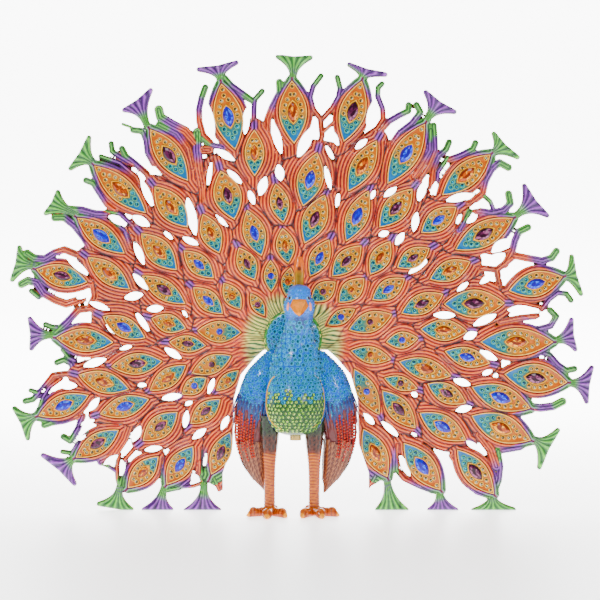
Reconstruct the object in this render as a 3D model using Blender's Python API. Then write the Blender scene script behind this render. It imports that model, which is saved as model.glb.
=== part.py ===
"""A peacock figurine with its tail fan spread: an openwork cast fan of 82 jewelled eye feathers,
a small jewelled bird in front of it, a round stud under the belly and faceted centre stones."""

import math

import bmesh
import bpy
import numpy as np
from mathutils import Matrix, Vector
from mathutils.geometry import delaunay_2d_cdt

# Every size below is in millimetres unless it says otherwise, and Blender works in metres.
MM = 0.001

# Where the fan stands. The bird looks towards -Y, and all feet stand at height 0.
HUB_X = -4.95
HUB_Z = 92.3
FAN_FRONT_Y = 14.3
FAN_THICKNESS = 4.0
TOUCH_GAP = 0.3

# The casting round the eye feathers, and the web that joins them.
OUTER_BAND = 3.2
INNER_BAND = 6.4
WEB_REACH = 111.0
LOWER_WEB_REACH = 90.0
LOWER_WEB_DROP = 48.0

# How finely the fan's outline is worked out.
GRID_STEP = 1.25
FIELD_MARGIN = 4.0
OUTLINE_TOLERANCE = 0.55
SHIFT_SHARE = 0.3
CORNER_SHARE = 0.12
FILL_INSIDE = 1
WELD_DISTANCE = 0.00001
SMALLEST_OPENING = 3.0
EYE_STEPS = 7
SLOT_STEPS = 5

# Flared feather tips. The lowest six are also deeper from front to back, as feet.
TIP_NECK_WIDTH = 4.0
TIP_ROUNDING = 1.3
TIP_DIP = 0.9
TIP_STEPS = 5
TIP_CURVE = 2.6
FOOT_DEPTH = 9.0
FOOT_RUNGS = (2, 4, 5)

# The open arch between the two lobes of the fan: drop below the hub and half width.
ARCH_OFFSET_X = 1.5
ARCH = [(4.5, 17.5), (9, 22.5), (18, 30), (31, 33.8), (56, 34.5), (72, 40), (100, 40)]

# Marquise centre stones. The eyes beyond the reach have theirs as separate pieces, each in a
# shallow recess.
STONE_NODE_REACH = 95.0
STONE_LONGEST = 12.0
STONE_LENGTH_SHARE = 0.36
STONE_WIDTH_SHARE = 0.48
STONE_HEIGHT = 2.5
STONE_GIRDLE_HEIGHT = 1.3
STONE_TABLE_SHARE = 0.45
STONE_STEPS = 3
EYE_RECESS = 0.6
EYE_RECESS_SHARE = 0.66
RECESS_STEPS = 3
FLAT_ANGLE = math.radians(0.2)

# How round the bird's sections are, and its stud and soles.
BODY_SIDES = 12
WING_SIDES = 10
MANTLE_SIDES = 16
LIMB_SIDES = 8
TOE_SIDES = 6
STUD_RADIUS = 3.1
STUD_HEIGHT = 2.3
SOLE_SINK = 0.35

ENAMEL_CORAL = (0.80, 0.18, 0.08)
ENAMEL_BLUE = (0.06, 0.25, 0.55)
BRASS_COLOUR = (0.80, 0.58, 0.25)
SAPPHIRE = (0.03, 0.09, 0.75)
AMETHYST = (0.10, 0.01, 0.08)
TOPAZ = (0.70, 0.20, 0.02)

# Each eye feather: angle from straight up and reach from the hub to the eye's middle, the eye's
# length and width, its lean off the radial line, and its stone. Degrees and millimetres.
OUTER_EYES = [
    (-147, 72.5, 26, 11, -9, AMETHYST),
    (-137.5, 91.5, 26, 12.5, -8, SAPPHIRE),
    (-131, 108.5, 24.5, 11.5, -5, TOPAZ),
    (-117.5, 120.5, 28.5, 11.5, -5, AMETHYST),
    (-105.5, 130, 30, 12, -7, SAPPHIRE),
    (-89.5, 113.5, 31.5, 13, 4, TOPAZ),
    (-74, 131, 29, 12.5, -2, AMETHYST),
    (-61, 119.5, 32.5, 12, 8, SAPPHIRE),
    (-48.5, 125.5, 38.5, 13, 1, TOPAZ),
    (-33.5, 122, 35, 13.5, -3, AMETHYST),
    (-16, 127.5, 37, 16, 4, SAPPHIRE),
    (0, 125, 34.5, 15.5, -2, TOPAZ),
    (14.5, 129.5, 34.5, 14.5, 2, AMETHYST),
    (31, 119.5, 38.5, 14, 1, SAPPHIRE),
    (46, 131, 34.5, 13.5, 4, TOPAZ),
    (60.5, 119.5, 36, 14, 1, AMETHYST),
    (76.5, 136, 30.5, 14, -1, SAPPHIRE),
    (90, 122, 40, 15.5, 0, TOPAZ),
    (98.5, 134, 35, 16, -1, AMETHYST),
    (105, 117.5, 34.5, 14, 5, SAPPHIRE),
    (112.5, 123, 35.5, 15.5, 0, TOPAZ),
    (125.5, 122.5, 32, 13, 15, AMETHYST),
    (134, 98, 33, 14, 8, SAPPHIRE),
    (143.5, 75.5, 30, 13, 10, TOPAZ),
]

INNER_EYES = [
    (-128.5, 61, 21.5, 10.5, -1, AMETHYST),
    (-122.5, 86, 25, 12.5, -7, AMETHYST),
    (-111, 98.5, 28.5, 12, 4, SAPPHIRE),
    (-106, 71, 24.5, 10.5, -19, TOPAZ),
    (-102, 105.5, 29, 12, 28, TOPAZ),
    (-98, 86, 28.5, 12, 2, AMETHYST),
    (-91, 57.5, 20.5, 9.5, 7, AMETHYST),
    (-85, 92.5, 26.5, 11.5, 22, SAPPHIRE),
    (-81.5, 68.5, 20, 10.5, 8, TOPAZ),
    (-69.5, 107, 29, 11.5, 17, TOPAZ),
    (-68, 76, 28.5, 11, 11, AMETHYST),
    (-64, 51.5, 22, 11, 16, SAPPHIRE),
    (-56, 88, 28, 13.5, 12, TOPAZ),
    (-50.5, 66.5, 22.5, 11, 3, SAPPHIRE),
    (-42, 99, 29, 14, 3, TOPAZ),
    (-37, 74, 23.5, 11.5, 14, TOPAZ),
    (-30.5, 49.5, 20, 11, 4, AMETHYST),
    (-24, 87.5, 28, 15.5, 8, AMETHYST),
    (-19.5, 63, 26.5, 12.5, 2, SAPPHIRE),
    (-11.5, 105, 25.5, 11, 11, TOPAZ),
    (-5.5, 76, 22, 10.5, -6, AMETHYST),
    (-4.5, 52.5, 20, 10.5, -5, TOPAZ),
    (6, 89, 30.5, 14.5, 9, SAPPHIRE),
    (10, 68, 29, 13.5, 13, AMETHYST),
    (17.5, 48, 23, 11, 10, SAPPHIRE),
    (21.5, 103, 32, 12.5, 8, TOPAZ),
    (27, 77, 30.5, 12, -3, SAPPHIRE),
    (33.5, 53, 23.5, 12, 10, AMETHYST),
    (37.5, 92, 28, 13.5, 3, AMETHYST),
    (46, 66, 21.5, 11, -15, TOPAZ),
    (50, 103.5, 24, 12, 4, SAPPHIRE),
    (55, 80, 21, 11, 4, AMETHYST),
    (61, 59.5, 21.5, 11, -4, SAPPHIRE),
    (65.5, 94, 24.5, 11.5, 1, TOPAZ),
    (73.5, 73.5, 25.5, 11.5, -8, AMETHYST),
    (78, 101, 33.5, 15.5, 11, AMETHYST),
    (85.5, 82.5, 26, 12, 7, TOPAZ),
    (95, 95.5, 26, 11, 10, SAPPHIRE),
    (101.5, 73.5, 30, 12, 4, TOPAZ),
    (108.5, 88.5, 24, 11, 8, AMETHYST),
    (119.5, 94, 30, 13, 1, SAPPHIRE),
    (122.5, 68.5, 28, 12, 16, AMETHYST),
]

# Eyes near the bird, which hold a small round stone.
ROUND_STONE_EYES = [
    (-120.5, 41.5, 17, 7.5, -12, TOPAZ),
    (-114, 59, 16.5, 9.5, -10, SAPPHIRE),
    (-105.5, 46, 24, 10.5, -8, AMETHYST),
    (-82, 40.5, 24.5, 12, -6, SAPPHIRE),
    (-53, 41.5, 17.5, 9.5, 20, TOPAZ),
    (-43.5, 28, 15, 7, 11, AMETHYST),
    (-18.5, 38, 17.5, 8, 17, SAPPHIRE),
    (-4.5, 33, 16, 8, 14, TOPAZ),
    (31, 32, 17.5, 10.5, 20, AMETHYST),
    (48.5, 42.5, 19.5, 11, -2, TOPAZ),
    (62.5, 29.5, 18, 8, -2, SAPPHIRE),
    (75.5, 43.5, 25.5, 11.5, -5, AMETHYST),
    (89, 59.5, 18, 9.5, -6, SAPPHIRE),
    (99.5, 43, 23, 9.5, 3, TOPAZ),
    (111, 63, 19.5, 8, -3, AMETHYST),
    (124, 48.5, 29, 11, 27, SAPPHIRE),
]

# Pointed slots cut right through the casting: angle, reach, length, width and lean.
SLOTS = [
    (-143.5, 81, 10.5, 2, -28),
    (-143, 91, 8, 1.5, -22),
    (-140, 58, 9.5, 3.5, -13),
    (-134.5, 72, 10, 4, 7),
    (-127.5, 96.5, 11, 3.5, 29),
    (-127, 117, 10.5, 2.5, -35),
    (-126, 72.5, 11.5, 3.5, -45),
    (-123, 119, 10.5, 3.5, 0),
    (-120.5, 66.5, 6, 2.5, 12),
    (-120.5, 99.5, 10.5, 4.5, -33),
    (-118.5, 51, 11, 3, -41),
    (-114.5, 73, 12.5, 4, 15),
    (-114.5, 126.5, 7, 2, -11),
    (-111.5, 121, 9.5, 3, 0),
    (-107.5, 114.5, 10.5, 4, -33),
    (-106, 86, 6.5, 2.5, 13),
    (-101, 139, 6.5, 1.5, -44),
    (-101, 125.5, 11, 4.5, 12),
    (-96, 109, 14.5, 4.5, -12),
    (-95.5, 66, 12, 4, 38),
    (-92, 91.5, 8.5, 2.5, -12),
    (-86, 100, 8.5, 2.5, 45),
    (-83.5, 115, 8, 3.5, -4),
    (-82.5, 83, 15.5, 3.5, 48),
    (-79.5, 107.5, 13.5, 3.5, 10),
    (-77.5, 117.5, 9, 3.5, -38),
    (-76.5, 77.5, 10, 4, -18),
    (-75.5, 61, 6.5, 2, 45),
    (-74, 90.5, 11.5, 4.5, -28),
    (-70.5, 125, 19.5, 4, 21),
    (-68.5, 89.5, 13, 4, 26),
    (-60, 97, 15.5, 4, 37),
    (-55.5, 117, 11, 3.5, -4),
    (-51.5, 106, 12, 5, -9),
    (-49.5, 89.5, 8.5, 2.5, 3),
    (-45.5, 78.5, 11, 3.5, -21),
    (-44.5, 113.5, 19, 4, 21),
    (-39, 88, 23.5, 5.5, 27),
    (-30.5, 76.5, 11.5, 2.5, -14),
    (-26.5, 102, 18, 2.5, 35),
    (-20.5, 129, 22, 4.5, 9),
    (-20, 108.5, 13.5, 4, -40),
    (-19.5, 95.5, 12.5, 3.5, -27),
    (-16, 82, 9.5, 3.5, -4),
    (-12, 123, 16.5, 4, 16),
    (-11, 86.5, 12, 5, 28),
    (-4.5, 111.5, 20.5, 4.5, -11),
    (-4.5, 92.5, 10, 5, -5),
    (3.5, 109, 20, 6, 22),
    (11, 105, 12, 2.5, -39),
    (11.5, 113.5, 11, 3.5, -37),
    (12, 91.5, 16.5, 3, -25),
    (17.5, 81, 11.5, 2.5, -11),
    (19, 114, 9.5, 3.5, 32),
    (19, 130.5, 18.5, 4.5, -7),
    (28.5, 91.5, 6.5, 2.5, -8),
    (33, 97.5, 10, 3.5, 22),
    (40, 77, 6.5, 3.5, 33),
    (40.5, 108, 13, 4.5, -22),
    (42.5, 113.5, 9.5, 2.5, -21),
    (45.5, 93.5, 12, 4, -36),
    (46, 81, 9, 4, -13),
    (49, 120, 16.5, 4.5, 27),
    (53.5, 112.5, 8, 2.5, -31),
    (53.5, 125, 8.5, 3.5, 17),
    (55.5, 118.5, 8, 3.5, -2),
    (59, 80, 15.5, 3.5, -5),
    (65, 124, 11.5, 5, -18),
    (67.5, 119.5, 13, 4.5, -1),
    (72, 111, 9.5, 3.5, -17),
    (72, 97.5, 9, 3, -19),
    (72, 122, 9, 3.5, -38),
    (80, 84, 13.5, 4, 11),
    (82, 124.5, 13, 5, 9),
    (83.5, 105.5, 15.5, 4.5, -18),
    (85, 136, 10, 3.5, -18),
    (88, 97, 8.5, 4.5, -21),
    (94, 107, 12.5, 4, 24),
    (99, 107.5, 7, 3, -29),
    (103.5, 95, 11, 4, 4),
    (111.5, 100.5, 10, 4, -34),
    (113.5, 72.5, 4.5, 3, 4),
    (120, 113.5, 9, 3.5, 3),
    (127.5, 83.5, 5, 2, -15),
    (132, 71.5, 14.5, 3.5, 0),
    (135.5, 59.5, 9.5, 3.5, 2),
    (138, 91.5, 15, 4, 17),
]

# Barbs and links between the feathers: width, then points of angle and reach from tip to root.
BARBS = [
    (3.5, [(-19, 146.5), (-20.5, 142), (-22, 136.5), (-23, 130.5), (-23.5, 123), (-22.5, 117.5)]),
    (3, [(-7, 137.5), (-9, 133.5), (-9.5, 128.5), (-10.5, 117.5)]),
    (3.5, [(-9.5, 133), (-11.5, 138), (-13.5, 143.5), (-14.5, 148.5)]),
    (4, [(-3, 141.5), (-3, 136), (-5, 128.5), (-6.5, 122), (-7, 114), (-5.5, 105)]),
    (3, [(6, 145.5), (4.5, 139.5), (4, 133.5), (5, 127), (7, 122.5), (8, 113.5), (7.5, 105)]),
    (3, [(9.5, 146), (10.5, 140.5), (10.5, 135.5), (9.5, 129), (7.5, 122.5)]),
    (2.5, [(12, 138.5), (11, 134.5)]),
    (3, [(19, 148.5), (18.5, 146), (19, 141.5), (21, 136), (22, 131), (21.5, 125), (19.5, 119)]),
    (3.5, [(26, 143.5), (26.5, 140.5), (25, 136), (23.5, 131), (22.5, 124.5), (22.5, 119)]),
    (3.5, [(27.5, 145.5), (29, 143), (28.5, 135.5), (27, 128), (26.5, 120.5)]),
    (3.5, [(33, 140.5), (34.5, 136), (36.5, 130), (37.5, 121), (38, 110)]),
    (3.5, [(38, 138), (38.5, 134), (38, 128.5), (39, 121), (41.5, 113.5)]),
    (3.5, [(42.5, 147), (43, 143.5), (42, 137), (40.5, 130.5)]),
    (4, [(51, 151), (49, 149), (49, 143.5), (50, 137), (52, 131), (52, 123.5), (50.5, 116)]),
    (2.5, [(52.5, 131), (54.5, 132), (56.5, 131)]),
    (4, [(55.5, 142.5), (57.5, 140.5), (58, 135.5), (57, 129), (54.5, 123)]),
    (4, [(64, 142.5), (64, 137), (65.5, 133), (67.5, 129.5), (70, 123)]),
    (4, [(71, 152), (72, 148.5), (72, 143), (70.5, 136.5), (68.5, 129)]),
    (3, [(81.5, 153.5), (80, 151.5), (79.5, 147), (80.5, 142), (82.5, 137)]),
    (3.5, [(83, 141.5), (84.5, 144.5), (86.5, 141), (87, 135), (87, 126)]),
    (3.5, [(95.5, 154.5), (96, 150.5), (95, 145.5), (93, 140.5), (92, 133.5)]),
    (4.5, [(102.5, 151), (104, 146.5), (105, 140), (105.5, 132)]),
    (3.5, [(112.5, 141), (115, 137), (117.5, 129)]),
    (2.5, [(153.5, 90), (150.5, 88), (147, 85)]),
    (2.5, [(134.5, 49), (142.5, 60.5), (148, 69.5), (149.5, 76.5)]),
    (3, [(134.5, 80), (141, 90), (141, 96.5), (139, 104.5), (137, 112)]),
    (3.5, [(118, 127), (121, 132.5), (124, 136), (127, 138)]),
    (4.5, [(125.5, 107.5), (127, 115.5), (129, 121), (129, 130), (128, 136.5)]),
    (2.5, [(-153.5, 90.5), (-151.5, 88), (-148.5, 85)]),
    (2, [(-142, 83), (-145, 89), (-148.5, 93)]),
    (3, [(-142, 87.5), (-143, 94.5), (-142, 101.5), (-139.5, 107)]),
    (2, [(-147.5, 91.5), (-145.5, 96), (-142.5, 100.5)]),
    (2, [(-131, 94.5), (-135, 101), (-138.5, 106.5)]),
    (2, [(-130, 97), (-132.5, 106.5), (-132.5, 118)]),
    (2, [(-125.5, 112), (-128, 119), (-130, 124)]),
    (2.5, [(-123, 113.5), (-125.5, 118.5), (-128, 122), (-130, 124)]),
    (2, [(-122, 125), (-124, 122), (-126.5, 120)]),
    (2.5, [(-114, 122), (-115.5, 131), (-117, 136.5)]),
    (3.5, [(-112.5, 136), (-114, 133.5), (-113, 130), (-112, 127), (-109.5, 122)]),
    (2.5, [(-115.5, 140), (-116.5, 136.5)]),
    (4, [(-108.5, 143.5), (-108.5, 139), (-109, 132.5), (-109, 124.5)]),
    (3.5, [(-102.5, 150), (-102.5, 146), (-101.5, 142), (-100, 137.5), (-98, 132.5), (-98, 126.5),
          (-98.5, 119)]),
    (2.5, [(-100.5, 146), (-101.5, 141.5)]),
    (2.5, [(-105, 144), (-102.5, 140), (-100.5, 135.5), (-99, 128.5)]),
    (3.5, [(-95, 129.5), (-94.5, 125.5), (-95.5, 122), (-98, 120), (-98, 115)]),
    (2.5, [(-92, 126), (-94, 123), (-95, 119.5)]),
    (3, [(-86, 135.5), (-86.5, 132), (-86.5, 129)]),
    (4, [(-88, 130.5), (-85, 124), (-81.5, 118.5), (-80.5, 111.5), (-81.5, 105.5)]),
    (4.5, [(-78, 151.5), (-77, 148.5), (-77, 143.5), (-79, 138.5), (-80, 132), (-80.5, 125.5),
          (-78.5, 117.5)]),
    (3, [(-79, 145.5), (-80, 141)]),
    (4, [(-71.5, 153), (-72, 148.5), (-71.5, 143), (-69.5, 139), (-68, 134.5), (-68, 127.5),
          (-67.5, 120.5)]),
    (4, [(-62.5, 146.5), (-61.5, 142), (-62, 135), (-63.5, 127.5), (-65.5, 121)]),
    (4, [(-59.5, 143), (-58, 136), (-57, 128.5), (-55.5, 123)]),
    (3.5, [(-52, 143), (-51.5, 139), (-52.5, 132.5), (-53.5, 126), (-53.5, 120.5)]),
    (3, [(-42.5, 146.5), (-43.5, 143), (-43, 137.5), (-42, 130)]),
    (3.5, [(-41.5, 140.5), (-42, 136), (-41.5, 130), (-41, 122), (-41.5, 114.5)]),
    (5, [(-30, 146), (-30.5, 142), (-29, 135.5), (-27, 129), (-26, 120.5)]),
    (3.5, [(-37, 144.5), (-35.5, 141), (-36, 136), (-37.5, 130), (-38, 123.5)]),
    (5, [(-24.5, 125.5), (-26.5, 117), (-28.5, 107), (-30.5, 96.5), (-33.5, 88.5)]),
    (1.5, [(-38, 150.5), (-37, 146.5)]),
    (4, [(-31.5, 139), (-29, 130), (-28.5, 120), (-30, 109.5)]),
    (2.5, [(-46, 145.5), (-44, 135.5), (-43.5, 124), (-45.5, 110)]),
    (4, [(33, 137.5), (35.5, 128), (36, 119), (36, 111)]),
    (2.5, [(65, 116.5), (67, 122), (67, 129)]),
    (3.5, [(53.5, 119.5), (56, 109.5)]),
    (5.5, [(116.5, 114), (118.5, 123), (121.5, 130.5)]),
    (4.5, [(-115.5, 98), (-120, 106.5), (-122.5, 117), (-122, 124)]),
    (2.5, [(-56, 119.5), (-56.5, 110), (-60, 102)]),
    (3.5, [(-24, 121.5), (-22.5, 116), (-20, 112.5)]),
    (5, [(-25, 115.5), (-23.5, 114)]),
    (2.5, [(-55, 124), (-53.5, 117.5), (-54, 107.5), (-56, 101.5)]),
    (4, [(-73.5, 114), (-77, 111), (-79.5, 112)]),
    (3.5, [(68.5, 110), (70.5, 118), (69, 128)]),
    (3.5, [(75.5, 110.5), (74.5, 117), (70.5, 118)]),
    (2.5, [(79.5, 116.5), (80.5, 128), (82, 136.5)]),
    (3.5, [(84.5, 113.5), (84, 124.5), (84, 134)]),
    (2.5, [(40, 131), (40.5, 121.5), (42, 117.5)]),
    (2.5, [(-123.5, 97), (-124, 105), (-125, 112.5)]),
    (2, [(8, 115), (9.5, 119), (11, 123)]),
]

# Flared tips of the outer feathers: the neck, then both ends of the flare, as angle and reach.
FLARED_TIPS = [
    ((0, 143), (-3.5, 155.5), (4, 155)),
    ((-15.5, 147.5), (-19.5, 157), (-11, 155)),
    ((-34, 142), (-36.5, 156), (-29, 157.5)),
    ((-48, 144), (-44.5, 157.5), (-52.5, 153.5)),
    ((-59.5, 137), (-57, 152), (-63, 152)),
    ((-73.5, 146), (-70.5, 158), (-78, 157)),
    ((-88.5, 130.5), (-84.5, 144.5), (-92, 143)),
    ((-106, 144.5), (-103, 157), (-110.5, 154.5)),
    ((-118, 135.5), (-114, 151), (-123.5, 142.5)),
    ((14.5, 147.5), (11, 154), (19.5, 154)),
    ((31, 141), (27.5, 154), (35.5, 153)),
    ((46.5, 148.5), (43.5, 157.5), (51, 158.5)),
    ((60.5, 139.5), (55.5, 152), (64, 155)),
    ((76.5, 151), (72.5, 159), (81, 159.5)),
    ((90, 142), (85, 152.5), (92, 154.5)),
    ((98.5, 151.5), (94.5, 164), (102, 164)),
    ((112, 141), (108, 153), (117.5, 151.5)),
]

# The lowest six tips are the feet that the fan stands on.
FEET = [
    ((-130, 124), (-129.5, 139.5), (-136.5, 127)),
    ((-138.5, 106.5), (-138, 124), (-144.5, 113)),
    ((-148, 92), (-147, 110.5), (-157, 100.5)),
    ((127.5, 137.5), (133.5, 134.5), (127, 153)),
    ((135.5, 114), (141.5, 118), (135.5, 129.5)),
    ((145.5, 90.5), (154, 102.5), (145.5, 112)),
]

# The bird's body and head from the belly up: height, depth in front of the fan, sideways shift
# from the hub, half width and half depth.
BODY_RINGS = [
    (43.4, 19.5, 1.4, 5.0, 4.6), (45, 19.8, 1.4, 9.8, 8.8), (49, 20.2, 1.4, 14.2, 13.2),
    (55, 20.5, 1.4, 16.6, 15.6), (63, 20, 1.4, 17.0, 15.8), (71, 18.8, 1.4, 16.4, 14.8),
    (78, 16.8, 1.5, 15.4, 13.0), (86, 15.2, 1.8, 13.6, 11.0), (94, 14.8, 2.2, 10.2, 9.4),
    (101, 16, 2.8, 8.2, 8.2), (107, 18.2, 3.3, 8.0, 8.4), (111, 19.6, 3.4, 8.7, 9.0),
    (114.5, 20, 3.4, 8.7, 9.0), (118, 20, 3.4, 6.9, 8.2), (121.6, 19.6, 3.4, 6.4, 6.8),
    (123.4, 19.2, 3.4, 4.6, 4.6),
]

# The round mantle where the body meets the fan: how far above the hub, and depth, radius.
MANTLE_RISE = 2.1
MANTLE_RINGS = [(0.3, 15.8), (2.6, 15.8), (6.0, 13.2), (9.0, 8.5)]

# One wing from the shoulder to the tip: height, depth, distance out from the body's middle,
# half width and half depth.
WING_RINGS = [
    (88, 12.5, 11.5, 4.5, 4.0), (82, 13.0, 14.8, 7.6, 6.4), (75, 13.6, 17.6, 10.2, 8.2),
    (62, 14.2, 20.8, 11.2, 8.6), (50, 14.4, 22.4, 9.8, 7.2), (40, 14.0, 23.4, 8.6, 5.8),
    (32, 13.2, 22.4, 7.6, 4.6), (25, 12.4, 20.8, 6.2, 3.6), (18, 11.6, 18.4, 4.2, 2.6),
    (11.5, 11.0, 15.6, 1.4, 1.4),
]

# The crest above the crown: height, depth, half width and half depth.
CREST_RINGS = [(119, 18.0, 2.6, 2.2), (126, 16.6, 2.6, 1.8), (132, 15.6, 3.0, 1.6),
               (136.4, 14.9, 2.7, 1.4), (139, 14.4, 1.4, 1.0)]

# The beak from its root to its tip: height, depth, half width and half height.
BEAK_RINGS = [(112.9, 24.0, 5.0, 4.7), (112.4, 28.6, 4.9, 4.6), (110.9, 31.8, 3.7, 3.4),
              (109.0, 34.0, 1.2, 1.1)]

# Thigh and shank down to the ankle: height, depth and radius.
LEG_RINGS = [(54, 17.5, 6.4), (47, 18, 5.4), (39, 18.6, 4.5), (33, 19, 3.8), (27, 19.1, 3.2),
             (18, 19.2, 2.9), (7.5, 19.4, 2.9), (1.2, 19.4, 3.3)]
LEFT_LEG_X = -12.5
RIGHT_LEG_X = 11.4

# Toes: how far each reaches sideways and forward from the ankle, for the left and right foot.
LEFT_TOES = [(-12.4, 4.8), (-1.4, 14.4), (9.6, 9.2), (3.4, -6.0)]
RIGHT_TOES = [(-7.2, 10.4), (4.6, 12.8), (13.8, 4.0), (-4.2, -6.0)]

# How thick a toe is along its length: share of its length, radius.
TOE_PROFILE = [(0.0, 2.9), (0.5, 2.5), (0.72, 2.9), (1.0, 1.7)]


def fan_point(angle, reach):
    """The X and Z of a point given by its angle from straight up and its reach from the hub."""
    turn = math.radians(angle)
    return HUB_X + reach * math.sin(turn), HUB_Z + reach * math.cos(turn)


def pointed_oval(angle, reach, length, width, lean, steps):
    """Outline of a pointed oval in the fan's plane, its long axis near the radial line."""
    centre = np.array(fan_point(angle, reach))
    turn = math.radians(angle + lean)
    along = np.array((math.sin(turn), math.cos(turn)))
    across = np.array((along[1], -along[0]))
    side = []
    for step in range(steps + 1):
        share = step / steps
        swell = math.sin(math.pi * share) ** 0.9 if 0 < step < steps else 0.0
        side.append(((share - 0.5) * length, swell * width / 2))
    back = [(s, -w) for s, w in reversed(side[1:-1])]
    return np.array([centre + along * s + across * w for s, w in side + back])


def flared_tip_rungs(neck, end_a, end_b):
    """Middle points and half widths of a feather tip from its neck to its flared end."""
    root = np.array(fan_point(*neck))
    first = np.array(fan_point(*end_a))
    last = np.array(fan_point(*end_b))
    middle = (first + last) / 2
    span = np.linalg.norm(last - first)
    across = (last - first) / span
    half_neck = TIP_NECK_WIDTH / 2 - TIP_ROUNDING
    half_end = span / 2 - TIP_ROUNDING
    rungs = []
    for step in range(TIP_STEPS + 1):
        share = step / TIP_STEPS
        half = half_neck + (half_end - half_neck) * share ** TIP_CURVE
        rungs.append((root + (middle - root) * share, half))
    return rungs, across


def flared_tip_outline(tip, dip):
    """Outline of a flared feather tip, its end edge hollowed by a small dip."""
    rungs, across = flared_tip_rungs(*tip)
    left = [centre - across * half for centre, half in rungs]
    right = [centre + across * half for centre, half in rungs]
    end, before = rungs[-1][0], rungs[-2][0]
    hollow = end - (end - before) / np.linalg.norm(end - before) * dip
    return np.array(left + [hollow] + right[::-1])


def segment_distance(start, end, x, z):
    """Distance from grid points to one straight segment."""
    edge = end - start
    dx = x - start[0]
    dz = z - start[1]
    share = np.clip((dx * edge[0] + dz * edge[1]) / max(edge @ edge, 1e-9), 0, 1)
    return np.hypot(dx - share * edge[0], dz - share * edge[1])


def outline_distance(outline, x, z):
    """Signed distance from grid points to a closed outline, negative inside."""
    nearest = np.full(x.shape, np.inf)
    inside = np.zeros(x.shape, bool)
    for start, end in zip(outline, np.roll(outline, -1, axis=0)):
        nearest = np.minimum(nearest, segment_distance(start, end, x, z))
        turn = (end[0] - start[0]) * (z - start[1]) - (end[1] - start[1]) * (x - start[0])
        upward = (z >= start[1]) & (z < end[1]) & (turn > 0)
        downward = (z < start[1]) & (z >= end[1]) & (turn < 0)
        inside ^= upward | downward
    return np.where(inside, -nearest, nearest)


def barb_distance(places, x, z):
    """Distance from grid points to a barb's middle line."""
    nearest = np.full(x.shape, np.inf)
    for start, end in zip(places, places[1:]):
        nearest = np.minimum(nearest, segment_distance(start, end, x, z))
    return nearest


def arch_outline():
    """Outline of the open arch under the hub, where the bird stands."""
    centre = HUB_X + ARCH_OFFSET_X
    right = [(centre + half, HUB_Z - drop) for drop, half in ARCH]
    left = [(centre - half, HUB_Z - drop) for drop, half in reversed(ARCH)]
    return np.array(right + left)


def window(points, margin, xs, zs):
    """Slices of the grid that hold some points and a margin round them."""
    low = np.min(points, axis=0) - margin
    high = np.max(points, axis=0) + margin
    columns = slice(*np.searchsorted(xs, (low[0], high[0])))
    rows = slice(*np.searchsorted(zs, (low[1], high[1])))
    return rows, columns


def fan_field(xs, zs):
    """A grid that is negative where the casting has metal and positive where it is open."""
    x, z = np.meshgrid(xs, zs)
    reach_here = np.hypot(x - HUB_X, z - HUB_Z)
    upper_web = np.maximum(reach_here - WEB_REACH, HUB_Z - LOWER_WEB_DROP - z)
    metal = np.minimum(upper_web, reach_here - LOWER_WEB_REACH)

    def add(points, band, distance):
        part = window(points, band + FIELD_MARGIN, xs, zs)
        metal[part] = np.minimum(metal[part], distance(points, x[part], z[part]) - band)

    for eye in OUTER_EYES:
        add(pointed_oval(*eye[:5], EYE_STEPS), OUTER_BAND, outline_distance)
    for eye in INNER_EYES + ROUND_STONE_EYES:
        add(pointed_oval(*eye[:5], EYE_STEPS), INNER_BAND, outline_distance)
    for width, points in BARBS:
        add(np.array([fan_point(*point) for point in points]), width / 2, barb_distance)
    for tip in FLARED_TIPS:
        add(flared_tip_outline(tip, TIP_DIP), TIP_ROUNDING, outline_distance)
    for foot in FEET:
        add(flared_tip_outline(foot, 0.0), TIP_ROUNDING, outline_distance)

    openings = [pointed_oval(*slot, SLOT_STEPS) for slot in SLOTS] + [arch_outline()]
    for outline in openings:
        part = window(outline, FIELD_MARGIN, xs, zs)
        metal[part] = np.maximum(metal[part], -outline_distance(outline, x[part], z[part]))
    return np.maximum(metal, -z)


# For each set of metal corners, the cell edges that the outline runs from and to.
CELL_CROSSINGS = {
    1: [("low", "left")], 2: [("right", "low")], 3: [("right", "left")], 4: [("high", "right")],
    5: [("low", "left"), ("high", "right")], 6: [("high", "low")], 7: [("high", "left")],
    8: [("left", "high")], 9: [("low", "high")], 10: [("right", "low"), ("left", "high")],
    11: [("right", "high")], 12: [("left", "right")], 13: [("low", "right")], 14: [("left", "low")],
}


def edge_key(side, row, column):
    """Name of a cell's edge as (runs along X, row, column), the same from both its cells."""
    if side == "low":
        return True, row, column
    if side == "high":
        return True, row + 1, column
    if side == "left":
        return False, row, column
    return False, row, column + 1


def crossing_point(key, field, xs, zs):
    """The place on a grid edge where the field passes through zero, kept off the edge's ends so
    that outlines never meet there."""
    along_x, row, column = key
    here = field[row, column]
    there = field[row, column + 1] if along_x else field[row + 1, column]
    share = min(max(here / (here - there), CORNER_SHARE), 1 - CORNER_SHARE)
    if along_x:
        return xs[column] + share * (xs[column + 1] - xs[column]), zs[row]
    return xs[column], zs[row] + share * (zs[row + 1] - zs[row])


def zero_loops(field, xs, zs):
    """Closed outlines along which the field is zero, with metal on their left."""
    metal = (field < 0).astype(int)
    corners = metal[:-1, :-1] + 2 * metal[:-1, 1:] + 4 * metal[1:, 1:] + 8 * metal[1:, :-1]
    following = {}
    for row, column in np.argwhere((corners > 0) & (corners < 15)):
        for start, end in CELL_CROSSINGS[corners[row, column]]:
            following[edge_key(start, row, column)] = edge_key(end, row, column)
    loops = []
    while following:
        start, key = following.popitem()
        loop = [start]
        while key != loop[0]:
            loop.append(key)
            key = following.pop(key)
        loops.append(np.array([crossing_point(edge, field, xs, zs) for edge in loop]))
    return loops


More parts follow.
